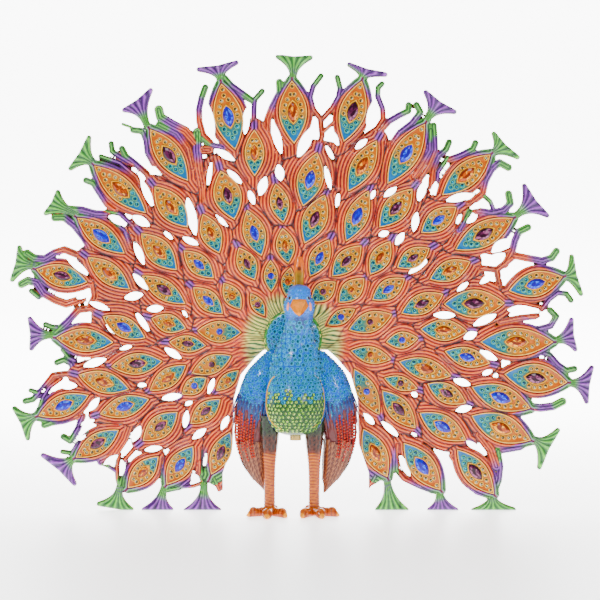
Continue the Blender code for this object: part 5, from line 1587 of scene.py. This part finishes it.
def add_blade(sheets, path, widths, normals, lift, colour, line_colour, lines=3):
    """A feather blade along a path: raised in the middle, with slanting engraved barbs."""
    path = np.asarray(path, float)
    along = np.gradient(path, axis=0)
    grid, colours = [], []
    for index, centre in enumerate(path):
        normal = np.asarray(normals[index], float)
        side = np.cross(along[index], normal)
        side /= np.linalg.norm(side)
        row, tints = [], []
        for k in range(2 * lines + 1):
            v = k / lines - 1
            barb = (index + abs(k - lines)) % 3 == 0
            crown = (1 - v * v) * lift - 0.25 * lift * barb
            row.append(centre + side * v * widths[index] + normal * crown)
            tints.append(blend(colour, line_colour, 0.8 * barb if v else 0.8))
        grid.append(row)
        colours.append(tints)
    sheets.add(grid, np.array(colours))


def shell_stone(height, turn):
    """Green stones low on the breast, and blue-green ones over them."""
    green = height < 65.5 + 4.0 * math.sin(turn * 1.7 + height * 2.3)
    return ("peridot", PERIDOT_SETTING) if green else ("teal", CYAN_SETTING)


def neck_stone(height, turn):
    """Blue-green stones with some sky blue ones."""
    sky = math.sin(height * 1.7 + turn * 0.9) > 0.55
    return ("sky" if sky else "teal"), CYAN_SETTING


def head_stone(height, turn):
    """Sky blue stones without collars."""
    return "sky", None


def covert_stone(height, turn):
    """The wing's stones, some of them in collars."""
    pick = math.sin(height * 2.9 + turn * 1.3)
    return ("teal" if pick > -0.1 else "sky"), (CYAN_SETTING if pick > 0.35 else None)


# The body's set stones: bottom, top, first and last turn, spacing, radius, sides and kind.
BODY_STONE_ZONES = (
    (46.3, 75.5, -66, 66, 2.3, 0.84, 7, shell_stone),
    (77.3, 104, -80, 80, 2.75, 1.02, 8, neck_stone),
    (106, 121, -150, 150, 1.7, 0.5, 6, head_stone),
    (50, 88, 105, 255, 2.9, 1.05, 8, neck_stone),
)


def build_body(materials):
    """Body, neck and head with their set stones."""
    dice = np.random.default_rng(11)
    skin = Sheets()
    grid = BODY.grid(0, 1, 150, HULL_TURNS)
    heights = grid[..., 2]
    turns = np.radians(HULL_TURNS)[None, :]
    front = np.cos(turns) + 0 * heights
    dapple = 0.5 + 0.5 * np.sin(heights * 2.1 + turns * 17)
    colours = blend(BLUE, BLUE_DEEP, dapple * 0.6)
    green = (1 - smooth(60, 68, heights)) * smooth(0.1, 0.5, front)
    colours = blend(colours, BELLY_GREEN, green)
    throat = smooth(99, 103, heights) * (1 - smooth(106, 108, heights)) * smooth(0.75, 0.95, front)
    colours = blend(colours, BLUE_DARK, throat * 0.8)
    colours = blend(colours, HEAD_BLUE, smooth(107, 109, heights) * 0.8)
    skin.add(grid, colours, wrap=True)
    for end, t in ((grid[0], 0), (grid[-1], 1)):
        middle = end.mean(axis=0)
        lifts = np.array([0, 0.5, 0.75, 0.8]) * (1 if t else -0.4)
        rings = [middle + (end - middle) * share + np.array([0, 0, lift])
                 for share, lift in zip((1.0, 0.6, 0.2, 0.01), lifts)]
        skin.add(rings if t else rings[::-1], BLUE if t else BELLY_GREEN, wrap=True)
    skin.piece("body_enamel", materials["bird"])

    stones, settings = Facets(), Facets()
    for bottom, top, first, last, spacing, radius, sides, stone_at in BODY_STONE_ZONES:
        spots = stone_spots(BODY, share_at(BODY, bottom), share_at(BODY, top), first, last,
                            spacing, dice)
        add_pave(stones, settings, BODY, spots, radius, sides, stone_at, dice)
    stones.piece("body_stones", materials["glass"])
    settings.piece("body_stone_settings", materials["setting"], "enamel")
    edge = Facets()
    for side in (-1, 1):
        line = [BODY.place(share_at(BODY, height), side * turn, 0.25) for height, turn in
                eased(SHELL_EDGE, 30)]
        add_wire(edge, line, 0.4 if side < 0 else 0.15, RIM_GOLD)
    edge.piece("breast_edges", materials["setting"], "enamel", soft=True)


def add_wire(facets, line, radius, colour, sides=6):
    """A round wire along a line of places, tapered at both ends."""
    line = [Vector(place) for place in line]
    last = len(line) - 1
    rings = []
    for index, place in enumerate(line):
        ahead = line[min(index + 1, last)] - line[max(index - 1, 0)]
        spot = local_frame(place, ahead, (0.3, 0.2, 1) if abs(ahead.z) < 0.8 * ahead.length
                           else (1, 0.2, 0))
        taper = min(1.0, 0.25 + min(index, last - index) / 3)
        rings += [spot(u * taper, v * taper, 0) for u, v in round_outline(radius, sides)]
    faces = ring_faces(len(line), sides)
    facets.add(rings, faces, [colour] * len(faces))


def mantle_place(radius, angle, depth):
    """A place in front of the fan, given from the mantle's middle."""
    return (HUB_X + radius * math.sin(angle), FAN_FRONT_Y - depth,
            HUB_Z + MANTLE_RISE + radius * math.cos(angle))


def build_mantle(materials):
    """The stone-set disc behind the neck with its green rim."""
    dice = np.random.default_rng(12)
    skin = Sheets()
    radii = np.concatenate([[0.1], np.linspace(2, MANTLE_RADIUS, 12), [MANTLE_RADIUS] * 2])
    crown = 1 - (np.minimum(radii, MANTLE_CROWN_RADIUS) / MANTLE_CURVE) ** 2
    depths = MANTLE_CROWN * np.sqrt(np.clip(crown, 0, 1)) + MANTLE_STAND_OFF
    depths[-1] = MANTLE_EDGE_DEPTH
    turns = np.radians(np.arange(0, 360, 6))
    grid = [[mantle_place(r, a, d) for a in turns] for r, d in zip(radii, depths)]
    tint = smooth(*MANTLE_GREEN, radii)[:, None] * np.ones(len(turns))
    skin.add(grid, blend(BLUE_DEEP, GREEN, tint), wrap=True)
    skin.piece("mantle_enamel", materials["bird"])

    stones, settings = Facets(), Facets()
    for radius in MANTLE_STONE_ROWS:
        count = int(math.tau * radius / MANTLE_STONE_SPACING)
        depth = MANTLE_CROWN * math.sqrt(1 - (radius / MANTLE_CURVE) ** 2) + MANTLE_STAND_OFF
        tilt = radius / MANTLE_CURVE * MANTLE_TILT
        for index in range(count):
            a = math.tau * (index + radius % 1) / count
            spot = local_frame(mantle_place(radius, a, depth),
                               (tilt * math.sin(a), -1, tilt * math.cos(a)), (0, 0, 1))
            add_cut_stone(stones, spot, round_outline(MANTLE_STONE_RADIUS, 8), 0.6,
                          STONE_TONES["teal"], dice)
            add_setting(settings, spot, round_outline(MANTLE_STONE_RADIUS, 9), 0.32, 0.25,
                        CYAN_SETTING)
    rim = Facets()
    for start in range(RIM_WIRES):
        line = []
        for step in range(7):
            a = math.tau * (start + step / 5) / RIM_WIRES
            radius = 15.3 - 0.9 * abs(step / 3 - 1) + 0.25 * math.sin(start * 2.3)
            line.append(mantle_place(radius, a, MANTLE_RIM_DEPTH))
        add_wire(rim, line, RIM_WIRE_RADIUS, RAY_LIGHT if start % 3 else GREEN_PALE)
    rim.piece("mantle_rim", materials["setting"], "enamel", soft=True)
    stones.piece("mantle_stones", materials["glass"])
    settings.piece("mantle_settings", materials["setting"], "enamel")


def wing_hull(side):
    """One folded wing as a hull. The side is -1 for the photo's left and 1 for its right."""
    middle = BODY_RINGS[0][2]
    return Hull([(height, depth, middle + side * out, width, other)
                 for height, depth, out, width, other in reversed(WING_RINGS)], WING_INSET)


def blue_end(turn, side):
    """How high the blue part of a wing ends at a turn in degrees."""
    return WING_BLUE_END + WING_BLUE_RISE * np.sin(np.radians(turn)) * side


def add_wing_feathers(feathers, hull, side):
    """The long brown feathers at the wing's end, and the short dark ones that fringe its blue."""
    for index, start in enumerate(np.linspace(-110, 120, LONG_FEATHERS)):
        turn = start * side
        top_share = share_at(hull, 41 - 1.2 * (index % 3))
        low_share = share_at(hull, 12.0 + abs(index - 5) * 1.6)
        shares = np.linspace(top_share, low_share, 30)
        path = [hull.place(t, turn * (1 - 0.15 * k / 29), 0.3 + 0.12 * (index % 2))
                for k, t in enumerate(shares)]
        normals = [hull.normal(t, turn) for t in shares]
        widths = LONG_FEATHER_WIDTH * np.sin(np.linspace(0.75, 3.0, 30)) ** 0.6
        add_blade(feathers, path, widths, normals, 0.6, BROWN, FEATHER_LINE, lines=4)
    for row, drop in enumerate(FRINGE_DROPS):
        for index in range(FRINGE_FEATHERS):
            outside = -1 + index / 8
            turn = (15 + 95 * outside) * side
            start = blue_end(abs(turn), 1) - drop
            tip = start - 9 - 3 * math.sin(index * 1.9 + row)
            shares = np.linspace(share_at(hull, start), share_at(hull, tip), len(FRINGE_TAPER))
            flare = 0.22 if outside > 0.5 else 0.07
            path = [hull.place(t, turn, 0.15 + flare * k) for k, t in enumerate(shares)]
            normals = [hull.normal(t, turn) for t in shares]
            shade = MAROON_RED if row == 2 or (row == 1 and index % 2) else FRINGE_BLUE
            add_blade(feathers, path, FRINGE_WIDTH * FRINGE_TAPER, normals, 0.4, shade,
                      FRINGE_DARK, lines=2)


def add_red_strands(stones, hull, side, dice):
    """Strands of red stones that hang down over the wing's middle."""
    for index in range(RED_STRANDS):
        turn = (-2 + index * 10.5) * side
        start = 51 + 2.5 * math.sin(index * 1.7) + 4 * math.sin(math.radians(abs(turn)))
        for step in range(int(13 + 3 * math.sin(index * 2.3))):
            t = share_at(hull, start - step * RED_STONE_PITCH)
            spot = local_frame(hull.place(t, turn, 0.85), hull.normal(t, turn), (0, 0.1, 1))
            add_cut_stone(stones, spot, oval_outline(1.75, 1.35, 3), 0.6, STONE_TONES["red"], dice)


def build_wing(side, name, materials, dice):
    """A folded wing: stone-set coverts, a dark fringe, stone strands and long brown feathers."""
    hull = wing_hull(side)
    skin = Sheets()
    turns = np.radians(HULL_TURNS)
    grid = hull.grid(0, 1, 90, HULL_TURNS)
    heights = grid[..., 2]
    wave = heights - blue_end(HULL_TURNS, side)[None, :] + 1.3 * np.sin(turns * 9)
    grain = 0.5 + 0.5 * np.sin(turns * 24)[None, :] + 0 * heights
    colours = blend(MAROON_RED, FRINGE_DARK, grain * 0.9)
    colours = blend(BROWN, colours, smooth(29, 36, heights))
    colours = blend(colours, BLUE_DEEP, smooth(-1.5, 1.5, wave))
    colours = blend(colours, BLUE, smooth(4, 12, wave))
    skin.add(grid, colours, wrap=True)
    top = grid[-1]
    middle = top.mean(axis=0)
    skin.add([top, middle + (top - middle) * 0.5 + np.array([0, 0, 0.6]),
              middle + (top - middle) * 0.02 + np.array([0, 0, 0.8])], BLUE, wrap=True)

    feathers = Sheets()
    add_wing_feathers(feathers, hull, side)
    feathers.piece(f"{name}_wing_feathers", materials["bird"])
    skin.piece(f"{name}_wing_enamel", materials["bird"])

    stones, settings = Facets(), Facets()
    low, high = [share_at(hull, height) for height in COVERT_HEIGHTS]
    spots = stone_spots(hull, low, high, -125, 125, COVERT_SPACING, dice)
    spots = [(t, turn) for t, turn in spots if hull.place(t, turn)[2] > blue_end(turn, side) + 1]
    add_pave(stones, settings, hull, spots, COVERT_RADIUS, 6, covert_stone, dice)
    add_red_strands(stones, hull, side, dice)
    stones.piece(f"{name}_wing_stones", materials["glass"])
    settings.piece(f"{name}_wing_settings", materials["setting"], "enamel")


def add_leg(skin, shift):
    """One leg from its feathered thigh down its ringed shank."""
    turns = LIMB_TURNS
    grid, colours = [], []
    for height, depth, radius in eased(LEG_RINGS, 110):
        above = float(smooth(*TUFT_START, height))
        phase = height * math.pi / SCUTE_PITCH + 0.9 * np.sin(turns * 2 + shift)
        scute = np.abs(np.sin(phase)) ** 0.7 * (1 - above)
        bristle = np.abs(np.sin(turns * 7 + 0.8 * math.sin(height * 1.3)))
        wide = radius - 0.15 + SCUTE_HEIGHT * scute + SCUTE_HEIGHT * above * bristle
        grid.append(np.stack([HUB_X + shift + wide * np.sin(turns),
                              FAN_FRONT_Y - depth - wide * np.cos(turns),
                              np.full(len(turns), height)], axis=1))
        # Painted shade in the grooves between the scutes, and a painted highlight on the fronts of
        # the scutes.
        front = smooth(0.55, 0.95, np.cos(turns + 0.25))
        tone = blend(LEG_SHADE, LEG_ORANGE, smooth(0.35, 0.8, scute))
        tone = blend(tone, LEG_HIGHLIGHT, front * smooth(0.6, 0.95, scute) * 0.8)
        green = float(smooth(*THIGH_GREEN_START, height)) + 0 * turns
        thigh = blend(THIGH_BROWN, THIGH_GREEN, green)
        thigh = blend(THIGH_DARK, thigh, smooth(0.2, 0.9, bristle))
        mixed = smooth(*THIGH_START, height + 1.2 * np.sin(turns * 5))
        colours.append(blend(tone, thigh, mixed))
    skin.add(grid[::-1], np.array(colours)[::-1], wrap=True)


def add_toe(skin, shift, reach):
    """One toe with its knuckles and claw, from the ankle outwards along the ground."""
    turns = LIMB_TURNS
    ankle_depth = LEG_RINGS[-1][1]
    shares = np.linspace(0, 1, 26)
    radius = np.interp(shares, [s for s, _ in TOE_PROFILE], [r for _, r in TOE_PROFILE])
    radius = radius * (1 - 0.3 * smooth(0.84, 0.9, shares) - 0.6 * smooth(0.92, 1.0, shares))
    knuckles = np.abs(np.sin(shares * KNUCKLE_WAVES))
    radius = radius + 0.16 * knuckles * (1 - smooth(0.78, 0.84, shares))
    radius = radius * np.minimum(1.0, 0.05 + shares * 14)
    direction = Vector((reach[0], -reach[1], 0)).normalized()
    across = Vector((-direction.y, direction.x, 0))
    rings, tints = [], []
    for share, r, knuckle in zip(shares, radius, knuckles):
        drop = 0.9 * float(smooth(0.75, 1.0, share))
        centre_z = max(float(np.interp(share, [0, 0.85, 1], [2.15, 1.75, 1.0])), r * 0.9)
        base = Vector((HUB_X + shift + reach[0] * share,
                       FAN_FRONT_Y - ankle_depth - reach[1] * share,
                       centre_z - drop * 0.2))
        ring = [base + across * (r * math.sin(a)) + Vector((0, 0, r * math.cos(a) * 0.95))
                for a in turns]
        rings.append([(p.x, p.y, max(p.z, 0.02)) for p in ring])
        # Painted shade between the knuckles, and a painted highlight on their tops.
        tone = blend(LEG_SHADE, LEG_ORANGE, smooth(0.2, 0.7, knuckle + 0 * turns))
        tone = blend(tone, LEG_HIGHLIGHT, knuckle * smooth(0.7, 1.0, np.cos(turns)) * 0.7)
        tints.append(blend(tone, CLAW, float(smooth(0.88, 0.91, share)) + 0 * turns))
    skin.add(rings, np.array(tints), wrap=True)


def build_legs(materials):
    """Dark feathered thighs, ringed orange shanks and toes with claws."""
    skin = Sheets()
    for shift, toes in ((LEFT_LEG_X, LEFT_TOES), (RIGHT_LEG_X, RIGHT_TOES)):
        add_leg(skin, shift)
        for reach in toes:
            add_toe(skin, shift, reach)
    skin.piece("legs_and_feet", materials["bird"])


def build_beak(material):
    """The faceted beak, from its root to its tip."""
    beak = Facets()
    middle = HUB_X + BODY_RINGS[-1][2]
    rings = []
    for height, depth, half_width, half_height in eased(BEAK_RINGS, BEAK_RUNGS):
        rings += [(middle + half_width * wide, FAN_FRONT_Y - depth, height + half_height * high)
                  for wide, high in BEAK_SECTION]
    count = len(BEAK_SECTION)
    rings.append(tuple(np.mean(rings[-count:], axis=0)))
    last = (BEAK_RUNGS - 1) * count
    faces, tones = [], []
    for index in range(count):
        ahead = (index + 1) % count
        for low in range(0, last, count):
            faces.append((low + index, low + ahead, low + count + ahead, low + count + index))
            # Each long face carries its share of painted shade.
            tones.append(blend(BEAK, LEG_SHADE, BEAK_PAINTED_SHADE[index]))
        faces.append((last + index, last + ahead, last + count))
        tones.append(BEAK)
    beak.add(rings, faces, tones)
    beak.piece("beak", material, "enamel")


def add_crest(soft):
    """The crest, hollow in front along its stem with painted shade in that hollow, and a dark brown
    spot painted under its top as the shade of a hole.
    """
    turns = LIMB_TURNS
    middle = HUB_X + BODY_RINGS[-1][2]
    grid, tints = [], []
    for height, depth, half_width, half_depth in eased(CREST_RINGS, 44):
        stem = 1 - float(smooth(129, 133, height))
        front = smooth(0.8, 1.0, np.cos(turns))
        inward = 1 - 0.30 * front * stem
        grid.append(np.stack([middle + half_width * 0.95 * np.sin(turns),
                              FAN_FRONT_Y - depth - half_depth * 0.9 * np.cos(turns) * inward,
                              height + 0 * turns], axis=1))
        edge = blend(CREST_ORANGE, CREST_YELLOW, stem * smooth(0.2, 0.7, np.cos(turns)))
        # Painted shade in the hollow along the stem's front.
        tint = blend(edge, CREST_SHADE, front * stem * 0.8)
        near_hole = np.hypot(height - CREST_HOLE_Z, half_width * np.sin(turns))
        # A painted dark spot as the shade of the crest's hole.
        hole = (1 - smooth(0.9, 1.5, near_hole)) * (np.cos(turns) > 0)
        tints.append(blend(tint, HOLE_SHADE, hole))
    soft.add(grid, np.array(tints), wrap=True)
    top = grid[-1]
    soft.add([top, top.mean(axis=0) + (top - top.mean(axis=0)) * 0.05], ORANGE, wrap=True)


def build_head(materials):
    """Beak, crest, cheeks and eyes."""
    build_beak(materials["bird"])
    soft = Sheets()
    add_crest(soft)
    for side in (-1, 1):
        turn = side * FACE_TURN
        for height, radius, out, tint, tall in FACE_SPOTS:
            t = share_at(BODY, height)
            spot = local_frame(BODY.place(t, turn, out), BODY.normal(t, turn), (1, 0, 0.12 * side))
            rings = [[tuple(spot(radius * share * math.cos(a), radius * tall * share * math.sin(a),
                                 lift)) for a in LIMB_TURNS] for share, lift in DOME]
            soft.add(rings, tint, wrap=True)
    soft.piece("eyes_and_crest", materials["bird"])


def build_bird(materials):
    """The whole bird in front of the fan."""
    build_body(materials)
    build_mantle(materials)
    dice = np.random.default_rng(13)
    build_wing(-1, "left", materials, dice)
    build_wing(1, "right", materials, dice)
    build_legs(materials)
    build_head(materials)
    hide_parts("bird")


def build_stud():
    """The round gilt stud under the belly keeps its solid's shape."""
    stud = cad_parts["belly_stud"]
    stud.data.materials.clear()
    stud.data.materials.append(gilt_material("polished brass stud", STUD_BRASS, 0.25))


def sweep_material():
    """White acrylic that glows softly: most behind the figurine, and little before it."""
    made, tree, shader = principled("lit white acrylic sweep", 0.35, colour=SWEEP_WHITE)
    place = node(tree, "ShaderNodeTexCoord")
    parts = node(tree, "ShaderNodeSeparateXYZ", [("Vector", place.outputs["Object"])])
    depth = parts.outputs["Y"]
    glow = node(tree, "ShaderNodeMapRange", [("Value", depth), ("From Min", -0.25),
                                             ("From Max", 0.75), ("To Min", GLOW_NEAR),
                                             ("To Max", GLOW_FAR)],
                interpolation_type="SMOOTHSTEP")
    front = node(tree, "ShaderNodeMapRange", [("Value", depth), ("From Min", -0.75),
                                              ("From Max", -0.25), ("To Min", 0.1),
                                              ("To Max", 1.0)])
    both = node(tree, "ShaderNodeMath", [(0, glow.outputs["Result"]),
                                         (1, front.outputs["Result"])], operation="MULTIPLY")
    tree.links.new(both.outputs["Value"], shader.inputs["Emission Strength"])
    shader.inputs["Emission Color"].default_value = (1, 1, 1, 1)
    return made


def build_floor():
    """A pale floor and backdrop in one sweep."""
    mesh = bpy.data.meshes.new("floor")
    bm = bmesh.new()
    rows = [[bm.verts.new((x, y, z)) for x in (-SWEEP_HALF_WIDTH, SWEEP_HALF_WIDTH)]
            for y, z in SWEEP_PROFILE]
    for low, high in zip(rows, rows[1:]):
        bm.faces.new((low[0], low[1], high[1], high[0])).smooth = True
    bm.to_mesh(mesh)
    bm.free()
    mesh.materials.append(sweep_material())
    linked("floor", mesh)


def aimed(name, data, place, target):
    """A lamp or camera in the scene, turned to look at a place."""
    made = linked(name, data)
    made.location = place
    made.rotation_euler = (target - made.location).to_track_quat("-Z", "Y").to_euler()
    return made


def build_stage():
    """The floor, soft lights and the camera at the photo's angle."""
    build_floor()
    world = bpy.data.worlds.new("studio")
    world.use_nodes = True
    background = world.node_tree.nodes["Background"]
    background.inputs["Color"].default_value = (1, 1, 1, 1)
    background.inputs["Strength"].default_value = WORLD_STRENGTH
    bpy.context.scene.world = world
    for name, place, size, power in LIGHTS:
        light = bpy.data.lights.new(name, "AREA")
        light.shape = "RECTANGLE"
        light.size, light.size_y = size
        light.energy = power
        aimed(name, light, place, Vector(LIGHT_TARGET))
    aim = Vector(CAMERA_AIM) * MM
    tilt = math.radians(CAMERA_ELEVATION)
    camera_data = bpy.data.cameras.new("camera")
    camera_data.lens = SENSOR_WIDTH * CAMERA_DISTANCE / VIEW_WIDTH
    place = aim + Vector((0, -math.cos(tilt), math.sin(tilt))) * CAMERA_DISTANCE
    bpy.context.scene.camera = aimed("camera", camera_data, place, aim)


# The sweep's profile as depth and height, and its half width, in metres.
SWEEP_PROFILE = ((-40.0, 0), (1.2, 0), (1.7, 0.04), (2.1, 0.2), (2.4, 0.6), (2.5, 4.0))
SWEEP_HALF_WIDTH = 40.0
WORLD_STRENGTH = 0.15
GLOW_NEAR = 1.4
GLOW_FAR = 7.5

# The camera looks at the fan's middle. Its distance and the width that it sees are in metres,
# its aim and its sensor in millimetres.
CAMERA_ELEVATION = 2.0
CAMERA_AIM = (-1.135, FAN_FRONT_Y, 115.2)
CAMERA_DISTANCE = 1.0
VIEW_WIDTH = 0.327
SENSOR_WIDTH = 36.0

# Each light's name, place, size and power, in metres and watts.
LIGHT_TARGET = (0, 0.01, 0.12)
LIGHTS = (
    ("key softbox", (-0.55, -1.15, 0.85), (0.22, 0.22), 11.0),
    ("fill softbox", (0.65, -1.2, 0.45), (0.22, 0.22), 5.0),
    ("top softbox", (0.1, -0.35, 1.2), (0.4, 0.3), 4.0),
)


# The enamels and plated metals: what each is called, then its roughness, the size in millimetres
# and strength of its unevenness, its clear coat and how metallic it is. Fired enamel has a wet
# gloss with small highlights, the cast back a dull glint on its crests with painted shade in its
# hollows, and the rims and collars a soft sheen.
PAINTED = {
    "enamel": ("glossy coral, purple and green enamel on cast ridges", 0.14, 0.35, 0.2, 0.25, 0),
    "cell": ("translucent orange and teal cell enamel", 0.12, 0.5, 0.3, 0.25, 0),
    "back": ("antique brass casting with painted shade in its hollows", 0.34, 0.8, 0.4, 0, 1),
    "rim": ("pale enamelled rim line", 0.3, 0.5, 0.1, 0.5, 0),
    "bird": ("glossy blue, brown and orange enamel", 0.14, 0.3, 0.25, 0.25, 0),
    "setting": ("gilt stone settings", 0.3, 0.4, 0.1, 0.2, 0),
}


def main():
    """Make the materials, the figurine and the stage."""
    materials = {key: enamel_material(*finish) for key, finish in PAINTED.items()}
    materials["gilt"] = gilt_material("gilt cast metal", GILT, 0.42)
    materials["glass"] = glass_material("foil-backed cut glass with painted glints")
    build_fan(materials)
    build_bird(materials)
    build_stud()
    build_stage()
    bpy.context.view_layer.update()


main()
